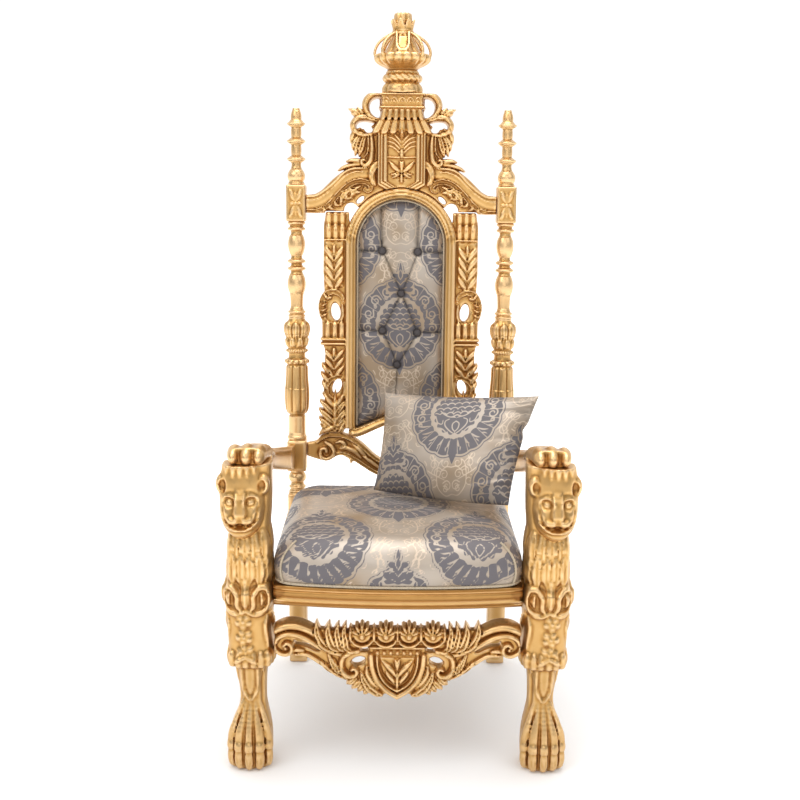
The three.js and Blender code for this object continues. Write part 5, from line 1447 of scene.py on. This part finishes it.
def seat_outline(t, inset):
    """Rounded seat plan for angle t: (cos, sin) over (|cos|^14 + |sin|^14)^(1/14), tapered and bowed."""
    q = 14.0
    c, s = np.cos(t), np.sin(t)
    k = (np.abs(c) ** q + np.abs(s) ** q) ** (-1 / q)
    u, v = c * k, s * k
    front, back = FACE_Y + 12, 262.0
    y = (front + back) / 2 + v * ((back - front) / 2 - inset)
    half = 290 + (284 - 290) * (y - front) / (back - front) - inset
    x = u * half
    y = y - bow(x) * np.clip(-v, 0, 1) ** 1.5
    return x, y


def seat_rows():
    """Section of the cushion as (inset, height): tucked foot, half-sine swell, quarter-ellipse front
    roll."""
    rows = [(26, 462.6), (10, 462.8), (4, 465), (1.5, 469)]
    rows += [(0.8 - 4.2 * math.sin(math.pi * t * 0.62), 473 + 30 * t) for t in np.linspace(0, 1, 9)]
    for t in np.linspace(0.04, 1, 30) * math.pi / 2:
        rows.append((-3 + 80 * (1 - math.cos(t)), 504 + 66 * math.sin(t)))
    return rows


def seat_mesh():
    """Crowned cushion over the seat outline: rounded swelling sides running into a domed top.

    Rings of the outline at each inset, then the last ring shrunk to its middle while it rises by 8*(1 -
    f^2). The top falls 16 mm towards the back, and small bell-shaped gathers run up the sides.
    """
    a = np.linspace(0, 2 * np.pi, 560, endpoint=False)
    points = []
    for inset, z in seat_rows():
        x, y = seat_outline(a, inset)
        points.append(np.stack([x, y, z - 16 * smooth(-120, 230, y) * smooth(500, 570, z)], 1))
    brow = len(points) - 11
    x0, y0 = seat_outline(a, 77)
    for f in np.linspace(0.98, 0.02, 60):
        zz = 570 + 8 * (1 - f**2) - 16 * smooth(-120, 230, -20 + (y0 + 20) * f)
        points.append(np.stack([x0 * f, -20 + (y0 + 20) * f, zz], 1))
    rings = np.array(points)
    x, y, z = rings[..., 0], rings[..., 1], rings[..., 2]
    rng = np.random.default_rng(4)
    for _ in range(34):
        ang = rng.uniform(0, 2 * np.pi)
        gap = (np.arctan2(y + 20, x) - ang + np.pi) % (2 * np.pi) - np.pi
        rise = np.exp(-(gap / rng.uniform(0.012, 0.04)) ** 2) * smooth(474, 500, z) * (1 - smooth(545, 568,
            z))
        rings[..., 2] += rng.uniform(-1.5, 1.5) * rise
    # cloth laid flat: plan place inside the brow, then the run down the side along the outward direction
    run = np.linalg.norm(np.diff(rings[:brow + 1], axis=0), axis=2)
    run = np.concatenate([np.cumsum(run[::-1], axis=0)[::-1], np.zeros((1, len(a)))])
    out = rings[brow - 12, :, :2] - rings[brow, :, :2]
    out /= np.linalg.norm(out, axis=1)[:, None]
    flat = rings[..., :2].copy()
    flat[:brow + 1] = rings[brow, None, :, :2] + run[..., None] * out[None]
    verts, faces = tube(rings)
    ends = [np.repeat(flat[n].mean(axis=0)[None, None], len(a), 1) for n in (0, -1)]
    flat = np.concatenate([ends[0], ends[0], flat, ends[1], ends[1]])
    flat = np.vstack([flat.reshape(-1, 2), ends[0][0, :1], ends[1][0, :1]])
    figure, lines = damask(flat[:, 0] + 190, flat[:, 1] + 244)
    return verts, faces, {"figure": figure, "lines": lines}


PAD_BUTTONS = ((-50, 1178), (46, 1176), (2, 1063), (-48, 961), (47, 956), (-7, 867))


def pad_mesh():
    """Buttoned pad: a puffed sheet, each button a dimple, pleats between the buttons as sharp creases.

    With d the distance to the edge and r that to a button or pleat, its depth is 22*(1 - exp(-d/13)) +
    11*(1 - exp(-d/55)), less the greatest of 27/(1 + (r/13)^1.7) and pleat*exp(-(r/9)^0.8).
    """
    step = PAD_CELL
    x = np.arange(-ARCH_IN - 2, ARCH_IN + 2.1, step)
    z = np.arange(684, 1320, step)
    X, Z = np.meshgrid(x, z, indexing="ij")
    floor_line = np.interp(np.abs(X), [0, 20, 48, 84, 112, 121], [729, 728, 720, 704, 692, 690])
    arch = np.where(Z > ARCH_Z, np.hypot(X, Z - ARCH_Z), np.abs(X)) - (ARCH_IN - 0.6)
    edge = np.maximum(arch, floor_line - Z)
    b = PAD_BUTTONS
    pleats = [(b[0], (-54, 1320), 20), (b[1], (50, 1320), 20), (b[0], (-125, 1180), 18),
        (b[1], (125, 1172), 18), (b[0], b[2], 14), (b[1], b[2], 14), (b[2], b[3], 17), (b[2], b[4], 17),
        (b[3], (-125, 963), 18), (b[4], (125, 955), 18), (b[3], b[5], 16), (b[4], b[5], 16),
        (b[5], (-18, 690), 12)]

    def folds(px, pz):
        """Depth of the pleats and dimples at the points, and the painted shade in the creases and round the
        buttons.
        """
        sink, dark = np.zeros(px.shape), np.zeros(px.shape)
        for bx, bz in b:
            away = np.hypot(px - bx, pz - bz)
            sink = np.maximum(sink, 27 / (1 + (away / 13) ** 1.7))
            # painted shade round each button's dimple
            dark = np.maximum(dark, 0.75 * np.exp(-((away / 14) ** 4)))
        for (x0, z0), (x1, z1), depth in pleats:
            dx, dz = x1 - x0, z1 - z0
            t = np.clip(((px - x0) * dx + (pz - z0) * dz) / (dx * dx + dz * dz), 0, 1)
            across = np.abs(((px - x0) * dz - (pz - z0) * dx) / math.hypot(dx, dz) + 3 * np.sin(np.pi * t))
            past = np.maximum(0, np.hypot(px - x0 - t * dx, pz - z0 - t * dz) - across)
            rr = np.hypot(across, past)
            sink = np.maximum(sink, depth * np.exp(-((rr / 9.0) ** 0.8)))
            # painted shade along each pleat's crease
            dark = np.maximum(dark, 0.9 * np.exp(-((rr / 2.6) ** 1.4)))
        return sink, dark

    d = np.clip(-edge, 0, None)
    puff = 22 * (1 - np.exp(-d / 13)) + 11 * (1 - np.exp(-d / 55))
    y = -(puff - folds(X, Z)[0] * smooth(0, 12, d))
    t = np.arange(-38, 12, step)
    field = np.maximum(y[:, None, :] - t[None, :, None], t[None, :, None] - 8.0) * 0.8
    field = np.maximum(field, edge[:, None, :])
    verts, faces = skin(field.astype(np.float32), (x[0], t[0], z[0]), step)
    verts = relax(verts, faces, 1)
    verts[:, 1] = verts[:, 1] + 7.2
    figure, thread = damask(verts[:, 0] / 0.88, (verts[:, 2] - 980) / 0.92)
    # painted shade: 0.10 over the whole pad, more in the pleats and round the buttons
    return lean(verts), faces, {"figure": figure, "lines": thread,
        "painted_shade": np.clip(0.10 + folds(verts[:, 0], verts[:, 2])[1], 0, 1)}


def button_mesh(x, z, depth):
    """Round covered button in the dark yarn: radius 11*cos(t)^0.7, height 7*sin(t)."""
    t = np.linspace(0, 1, 9)
    a = np.linspace(0, 2 * np.pi, 28, endpoint=False)
    r = 11 * np.cos(t * math.pi / 2) ** 0.7
    y = depth - 7.0 * np.sin(t * math.pi / 2)
    rings = np.stack([x + r[:, None] * np.cos(a), y[:, None] + 0 * a, z + r[:, None] * np.sin(a)], -1)
    verts, faces = tube(rings[:-1])
    figure = np.full(len(verts), -40.0)
    return lean(verts), faces, {"figure": figure, "lines": figure + 80}


def pillow_mesh():
    """Stuffed pillow: puffed over a pinched square, gathered along its right side, its corners pulled.

    Puff is sqrt((1 - u^4)(1 - v^4)) * (0.5 + 0.5*sqrt((1 - u^2)(1 - v^2))) over u and v from -1 to 1. A
    gather is a bell across its line that fades away from the edge.
    """
    n, m = 250, 180
    u = np.linspace(-1, 1, n)
    v = np.linspace(-1, 1, m)
    U, V = np.meshgrid(u, v, indexing="ij")
    wide, high, thick = 203.0, 137.0, 48.0
    x = wide * U * (1 - 0.05 * (1 - V**2) * np.abs(U) ** 3)
    z = high * V * (1 - 0.06 * (1 - U**2) * np.clip(V, 0, 1) ** 3) - 6 * (1 - U**2) * np.clip(-V, 0, 1) ** 3
    puff = ((1 - U**4) * (1 - V**4)) ** 0.5 * (0.5 + 0.5 * ((1 - U**2) * (1 - V**2)) ** 0.5)
    rng = np.random.default_rng(7)
    folds = np.zeros(U.shape)
    for k in range(34):
        side = (1, 1, 3, 2, 0)[k % 5]
        at = rng.uniform(-0.92, 0.92)
        near, along = ((1 + U, V), (1 - U, V), (1 - V, U), (1 + V, U))[side]
        reach = rng.uniform(0.10, 0.26) * (1.2 if side == 1 else 0.8)
        width = rng.uniform(0.025, 0.06)
        tilt = rng.uniform(-0.6, 0.6)
        weight = 2.6 if side == 1 else 0.9
        folds += weight * rng.uniform(-1.1,
            1.3) * np.exp(-((along - at - tilt * near) / width) ** 2) * np.exp(-near / reach) * smooth(0,
            0.06, near)
    dent = 8 * np.exp(-((U - 0.05) ** 2 / 0.35 + (V - 0.6) ** 2 / 0.16)) - 4 * np.exp(-((U
        + 0.1) ** 2 / 0.3 + (V + 0.3) ** 2 / 0.3))
    face = thick * puff + 3.4 * folds * puff**0.35 - dent * puff
    back = thick * 0.9 * puff
    # corner pulls in local mm: bottom left, bottom right, top left, top right
    lift = [((-1, -1), (12, 2, 16)), ((1, -1), (-14, -84, -12)), ((-1, 1), (16, 0, 0)),
        ((1, 1), (22, 0, 4))]
    pull = np.zeros((*U.shape, 3))
    for (su, sv), move in lift:
        pull += ((1 + su * U) * (1 + sv * V) / 4)[..., None] * np.array(move, float)
    notch = 7 * np.exp(-((V - 0.35) / 0.10) ** 2) * smooth(0.72, 1.0, U)
    x = x - notch
    front_pts = (np.stack([x, -face - 0.6, z], -1) + pull).reshape(-1, 3)
    back_pts = (np.stack([x, back + 0.6, z], -1) + pull).reshape(-1, 3)
    i = np.arange(n - 1)[:, None]
    j = np.arange(m - 1)[None, :]
    a = i * m + j
    quad = np.stack([a, a + m, a + m + 1, a + 1], -1).reshape(-1, 4)
    count = n * m
    faces = [quad, quad[:, ::-1] + count]
    rim = np.concatenate([np.arange(n) * m, (n - 1) * m + np.arange(1, m), np.arange(n - 2, -1, -1) * m + m
        - 1, np.arange(m - 2, 0, -1)])
    nxt = np.roll(rim, -1)
    faces.append(np.stack([rim, rim + count, nxt + count, nxt], 1))
    verts = np.vstack([front_pts, back_pts])
    faces = np.vstack(faces)
    cloth = np.stack([wide * U, high * V], -1).reshape(-1, 2)
    cloth = np.vstack([cloth, cloth])
    tilt = math.radians(-8)
    cu = cloth[:, 0] * math.cos(tilt) - cloth[:, 1] * math.sin(tilt)
    cv = cloth[:, 0] * math.sin(tilt) + cloth[:, 1] * math.cos(tilt)
    figure, lines = damask((cu - 25) / 0.92, (cv - 80) / 0.92)
    # painted shade: darker over the whole pillow, more towards its right side, its bottom and a little at
    # its left edge, darker in the sunk folds and lighter on the raised ones
    away = 0.17 + 0.20 * smooth(0.45, 1.0, U) + 0.10 * smooth(0.55, 1.0, -V) + 0.05 * smooth(0.75, 1.0, -U)
    shade = np.clip(away - 0.16 * np.clip(folds, -1.4, 1.0) * puff**0.35, 0, 0.6).reshape(-1)
    verts = pillow_place(verts)
    return verts, faces, {"figure": figure, "lines": lines, "painted_shade": np.concatenate([shade, shade])}


def pillow_place(verts):
    """Rolls, leans and turns the pillow to where it rests."""
    for axis, degrees in ((1, -3), (0, -24), (2, -20)):
        t = math.radians(degrees)
        c, s = math.cos(t), math.sin(t)
        p, q = [(1, 2), (2, 0), (0, 1)][axis]
        out = verts.copy()
        out[:, p] = verts[:, p] * c - verts[:, q] * s
        out[:, q] = verts[:, p] * s + verts[:, q] * c
        verts = out
    return verts + [126, 50, RAIL_TOP + 243]


def materials(scene):
    """The three materials of the dressed part, made once."""
    p = scene.throne_settings
    if "gilt_paint" not in bpy.data.materials:
        gold_material("gilt_paint", tuple(p.gold_colour))
        damask_material("damask_cloth", tuple(p.ground_colour), tuple(p.figure_colour))
        plain_material("braid_cord", tuple(p.cord_colour), 0.6)
    names = {"gilt": "gilt_paint", "damask": "damask_cloth", "braid": "braid_cord"}
    return {k: bpy.data.materials[v] for k, v in names.items()}


def build_back(scene):
    """Crest, stiles, lower rail, crown and the board behind the pad."""
    gilt = materials(scene)["gilt"]
    for name, make, replaced in (("crest_carving", crest_mesh, "crest"), ("back_frame_carving", stile_mesh,
            "back_frame"), ("lower_rail_carving", lower_rail_mesh, "lower_rail"),
            ("crown_carving", crown_mesh, "crown_finial")):
        add_piece(name, *make(), gilt, [replaced])
    arc = np.linspace(0, np.pi, 40)
    r = ARCH_IN + 6.6
    outline = np.vstack([np.stack([r * np.cos(arc), ARCH_Z + r * np.sin(arc)], 1),
        [(-r, 900), (-r, 678), (-80, 696), (-40, 716), (0, 722), (40, 716), (80, 696), (r, 678), (r, 900)]])
    mid = np.array([0, 1000.0])
    rings = []
    for shrink, y in ((0.985, 17.6), (1, 18.4), (1, 22.2), (0.985, 23)):
        o = mid + (outline - mid) * shrink
        rings.append(np.stack([o[:, 0], np.full(len(o), y), o[:, 1]], 1))
    v, f = tube(np.array(rings))
    add_piece("back_board_panel", lean(v), f[:, ::-1], gilt, ["back_board"])


def build_posts(scene):
    """The two back posts, one the mirror image of the other."""
    gilt = materials(scene)["gilt"]
    v, f = post_mesh()
    v = v + [-POST_X, 0, 0]
    add_piece("left_post_turning", v, f, gilt, ["left_rear_post"])
    add_piece("right_post_turning", *mirror(v, f), gilt, ["right_rear_post"])


def build_legs(scene):
    """The lion legs and the arms, the left ones mirrored."""
    gilt = materials(scene)["gilt"]
    for make, name, end, node_end in ((lion_mesh, "lion", "", "_front_leg"), (arm_mesh, "arm", "_carving",
            "_arm")):
        v, f = make()
        add_piece(f"right_{name}{end}", v, f, gilt, [f"right{node_end}"])
        add_piece(f"left_{name}{end}", *mirror(v, f), gilt, [f"left{node_end}"])


def build_rails(scene):
    """The four seat rails and the apron."""
    gilt = materials(scene)["gilt"]
    add_piece("front_rail_moulding", *front_rail_mesh(), gilt, ["front_rail"])
    v, f = bar_mesh((POST_X - 4, FACE_Y + 106, 416), (POST_X + 24, 269.7, 462))
    add_piece("right_side_rail_bar", v, f, gilt, ["right_side_rail"])
    add_piece("left_side_rail_bar", *mirror(v, f), gilt, ["left_side_rail"])
    rear = bar_mesh((-257.7, POST_Y - 14, 416), (257.7, POST_Y + 14, 460))
    add_piece("rear_rail_bar", *rear, gilt, ["rear_rail"])
    add_piece("apron_carving", *apron_mesh(), gilt, ["front_stretcher"])


def build_upholstery(scene):
    """Seat, pad, buttons, cords and pillow."""
    m = materials(scene)
    v, f, fields = seat_mesh()
    add_piece("seat_cover", v, f, m["damask"], ["seat_cushion"], "damask", fields, 0.75)
    a = np.linspace(-np.pi * 0.998, -0.002 * np.pi, 300)
    x, y = seat_outline(a, 1.5)
    keep = y < 120
    path = np.stack([x, y - 1.5, np.full(len(x), 467.5)], 1)[keep]
    add_piece("seat_cord", *rope_mesh(path, 3.4), m["braid"], ["seat_piping"], "braid")
    for n, sx in enumerate((-1, 1)):
        angle = np.array([math.radians(-90 + sx * 43.5)])
        path = [[*(c[0] for c in seat_outline(angle, inset - 1.5)), z] for inset, z in seat_rows()[3:32]]
        add_piece(f"corner_cord_{n + 1}", *rope_mesh(path, 3.0), m["braid"], (), "braid")
    v, f, fields = pad_mesh()
    add_piece("back_pad_cover", v, f, m["damask"], ["back_pad"], "damask", fields, 0.8)
    t = np.linspace(-0.02, np.pi + 0.02, 90)
    r = ARCH_IN - 3.6
    path = np.vstack([[(r, -3, 696)], np.stack([r * np.cos(t), -3 + 0 * t, ARCH_Z + r * np.sin(t)], 1),
        [(-r, -3, 696)]])
    v, f = rope_mesh(path, 3.0, 2.0)
    add_piece("pad_cord", lean(v), f, m["braid"], (), "braid")
    for n, (bx, bz) in enumerate(PAD_BUTTONS):
        v, f, fields = button_mesh(bx, bz, -5.0)
        add_piece(f"button_cover_{n + 1}", v, f, m["damask"], [f"back_button_{n + 1}"], "damask", fields)
    v, f, fields = pillow_mesh()
    add_piece("pillow_cover", v, f, m["damask"], ["pillow"], "damask", fields, 0.6)


def point_along(lamp, way):
    """Turns a lamp to shine along a direction."""
    lamp.rotation_mode = "QUATERNION"
    lamp.rotation_quaternion = way.to_track_quat("-Z", "Y")


def build_stage(scene):
    """White sweep, soft lights and the camera of the photograph."""
    floor = bpy.data.meshes.new("floor")
    s = 30.0
    floor.from_pydata([(-s, -s, 0), (s, -s, 0), (s, s, 0), (-s, s, 0)], [], [(0, 1, 2, 3)])
    obj = bpy.data.objects.new("floor", floor)
    scene.collection.objects.link(obj)
    mat, tree, bsdf = shader("floor_white")
    tint = ramp(tree, speckle(tree, 5.0), [(0, (0.90, 0.90, 0.90)), (1, (0.92, 0.92, 0.92))])
    link(tree, tint.outputs["Color"], bsdf.inputs["Base Color"])
    set_inputs(bsdf, Roughness=0.9, Specular_IOR_Level=0.0, Emission_Color=(1, 1, 1, 1))
    reach = node(tree, "ShaderNodeVectorMath", operation="LENGTH")
    link(tree, node(tree, "ShaderNodeTexCoord").outputs["Object"], reach.inputs[0])
    glow = stretch(tree, reach.outputs["Value"], 0.9, 2.2, 0.05, 0.75)
    link(tree, glow, bsdf.inputs["Emission Strength"])
    floor.materials.append(mat)
    world = bpy.data.worlds.new("studio")
    world.use_nodes = True
    scene.world = world
    tree = world.node_tree
    back = tree.nodes["Background"]
    back.inputs["Strength"].default_value = 1.0
    coords = node(tree, "ShaderNodeTexCoord")
    split = node(tree, "ShaderNodeSeparateXYZ")
    link(tree, coords.outputs["Generated"], split.inputs[0])
    tint = ramp(tree, stretch(tree, split.outputs["Y"], -1.0, 0.6), [(0.0, (0.20, 0.20, 0.205)),
        (0.35, (0.28, 0.28, 0.285)), (0.66, (0.46, 0.46, 0.46)), (0.86, (1.1, 1.1, 1.1))])
    link(tree, tint.outputs["Color"], back.inputs["Color"])
    powers = scene.throne_settings
    for name, place, aim, size, power in (("key", (-2.4, -2.2, 4.0), (0, 0, 1.2), 2.6, powers.key_power),
            ("fill", (2.6, -2.0, 3.6), (0, 0, 1.2), 2.6, powers.fill_power), ("front", (0, -4.2, 2.8),
            (0, 0, 1.5), 3.0, 38.0), ("top", (0.1, 0.1, 4.6), (0, 0, 0.8), 2.6, powers.top_power)):
        light = bpy.data.lights.new(name, "AREA")
        light.energy = power
        light.size = size
        lamp = bpy.data.objects.new(name, light)
        lamp.location = place
        point_along(lamp, Vector(aim) - Vector(place))
        lamp.visible_camera = False
        scene.collection.objects.link(lamp)
    sun = bpy.data.lights.new("sky_panel", "SUN")
    sun.energy = 0.5
    sun.angle = math.radians(80)
    lamp = bpy.data.objects.new("sky_panel", sun)
    point_along(lamp, Vector((0.35, 0.45, -1.0)))
    scene.collection.objects.link(lamp)
    cam = bpy.data.cameras.new("camera")
    cam.sensor_width = SENSOR
    cam.lens = FOCAL_PIXELS / PHOTO_PIXELS * SENSOR
    eye = bpy.data.objects.new("camera", cam)
    scene.collection.objects.link(eye)
    pitch, yaw, roll = (math.radians(v) for v in CAMERA_TURNS)
    fwd = Vector((-math.sin(yaw) * math.cos(pitch), math.cos(yaw) * math.cos(pitch), -math.sin(pitch)))
    right = Vector((math.cos(yaw), math.sin(yaw), 0))
    up = right.cross(fwd)
    right, up = right * math.cos(roll) + up * math.sin(roll), up * math.cos(roll) - right * math.sin(roll)
    eye.location = (EYE[0], EYE[1] + SHIFT_Y * MM, EYE[2])
    eye.rotation_mode = "QUATERNION"
    eye.rotation_quaternion = Matrix((right, up, -fwd)).transposed().to_quaternion()
    cam.clip_start, cam.clip_end = 0.05, 60.0
    scene.camera = eye
    scene.view_settings.view_transform = "Standard"
    scene.view_settings.look = "None"


class ThroneSettings(bpy.types.PropertyGroup):
    """Colours of the materials and powers of the lamps"""
    gold_colour: bpy.props.FloatVectorProperty(name="Gold", description="Colour of the gilt paint",
        subtype="COLOR", size=3, min=0, max=1, default=(0.60, 0.36, 0.13))
    ground_colour: bpy.props.FloatVectorProperty(name="Cloth Ground",
        description="Colour of the satin ground", subtype="COLOR", size=3, min=0, max=1,
        default=(0.42, 0.35, 0.28))
    figure_colour: bpy.props.FloatVectorProperty(name="Cloth Figure",
        description="Colour of the woven figure", subtype="COLOR", size=3, min=0, max=1,
        default=(0.120, 0.110, 0.122))
    cord_colour: bpy.props.FloatVectorProperty(name="Cord", description="Colour of the twisted cord",
        subtype="COLOR", size=3, min=0, max=1, default=(0.50, 0.41, 0.29))
    key_power: bpy.props.FloatProperty(name="Key Light", description="Power of the large lamp at the left",
        min=0, default=52.0, unit="POWER")
    fill_power: bpy.props.FloatProperty(name="Fill Light",
        description="Power of the large lamp at the right", min=0, default=32.0, unit="POWER")
    top_power: bpy.props.FloatProperty(name="Top Light", description="Power of the large lamp overhead",
        min=0, default=92.0, unit="POWER")


class THRONE_OT_back(bpy.types.Operator):
    """Build the carved back: crest, crown, stiles, arch and lower rail"""
    bl_idname = "throne.back"
    bl_label = "Carved Back"

    def execute(self, context):
        """Builds it in the open scene."""
        build_back(context.scene)
        return {"FINISHED"}


class THRONE_OT_posts(bpy.types.Operator):
    """Build the two turned back posts"""
    bl_idname = "throne.posts"
    bl_label = "Back Posts"

    def execute(self, context):
        """Builds it in the open scene."""
        build_posts(context.scene)
        return {"FINISHED"}


class THRONE_OT_legs(bpy.types.Operator):
    """Build the lion legs and the arms"""
    bl_idname = "throne.legs"
    bl_label = "Lion Legs and Arms"

    def execute(self, context):
        """Builds it in the open scene."""
        build_legs(context.scene)
        return {"FINISHED"}


class THRONE_OT_rails(bpy.types.Operator):
    """Build the seat rails and the pierced apron"""
    bl_idname = "throne.rails"
    bl_label = "Rails and Apron"

    def execute(self, context):
        """Builds it in the open scene."""
        build_rails(context.scene)
        return {"FINISHED"}


class THRONE_OT_upholstery(bpy.types.Operator):
    """Build the seat, the buttoned pad, the cord and the pillow"""
    bl_idname = "throne.upholstery"
    bl_label = "Upholstery"

    def execute(self, context):
        """Builds it in the open scene."""
        build_upholstery(context.scene)
        return {"FINISHED"}


class THRONE_OT_stage(bpy.types.Operator):
    """Set up the floor, the lights and the camera"""
    bl_idname = "throne.stage"
    bl_label = "Stage"

    def execute(self, context):
        """Builds it in the open scene."""
        build_stage(context.scene)
        return {"FINISHED"}


class THRONE_PT_panel(bpy.types.Panel):
    """Buttons that build the throne"""
    bl_idname = "THRONE_PT_panel"
    bl_label = "Throne"
    bl_space_type = "VIEW_3D"
    bl_region_type = "UI"
    bl_category = "Throne"

    def draw(self, context):
        """Lists the settings, then one button a step."""
        for name in ThroneSettings.__annotations__:
            self.layout.prop(context.scene.throne_settings, name)
        for name in ("back", "posts", "legs", "rails", "upholstery", "stage"):
            self.layout.operator("throne." + name)


CLASSES = (ThroneSettings, THRONE_OT_back, THRONE_OT_posts, THRONE_OT_legs, THRONE_OT_rails,
    THRONE_OT_upholstery, THRONE_OT_stage, THRONE_PT_panel)


def register():
    """Adds the settings, the operators and the panel."""
    for cls in CLASSES:
        bpy.utils.register_class(cls)
    bpy.types.Scene.throne_settings = bpy.props.PointerProperty(type=ThroneSettings)


def unregister():
    """Takes them away again."""
    del bpy.types.Scene.throne_settings
    for cls in reversed(CLASSES):
        bpy.utils.unregister_class(cls)


def main():
    """Builds the throne step by step."""
    register()
    bpy.ops.throne.back()
    bpy.ops.throne.posts()
    bpy.ops.throne.legs()
    bpy.ops.throne.rails()
    bpy.ops.throne.upholstery()
    bpy.ops.throne.stage()


if __name__ == "__main__":
    main()
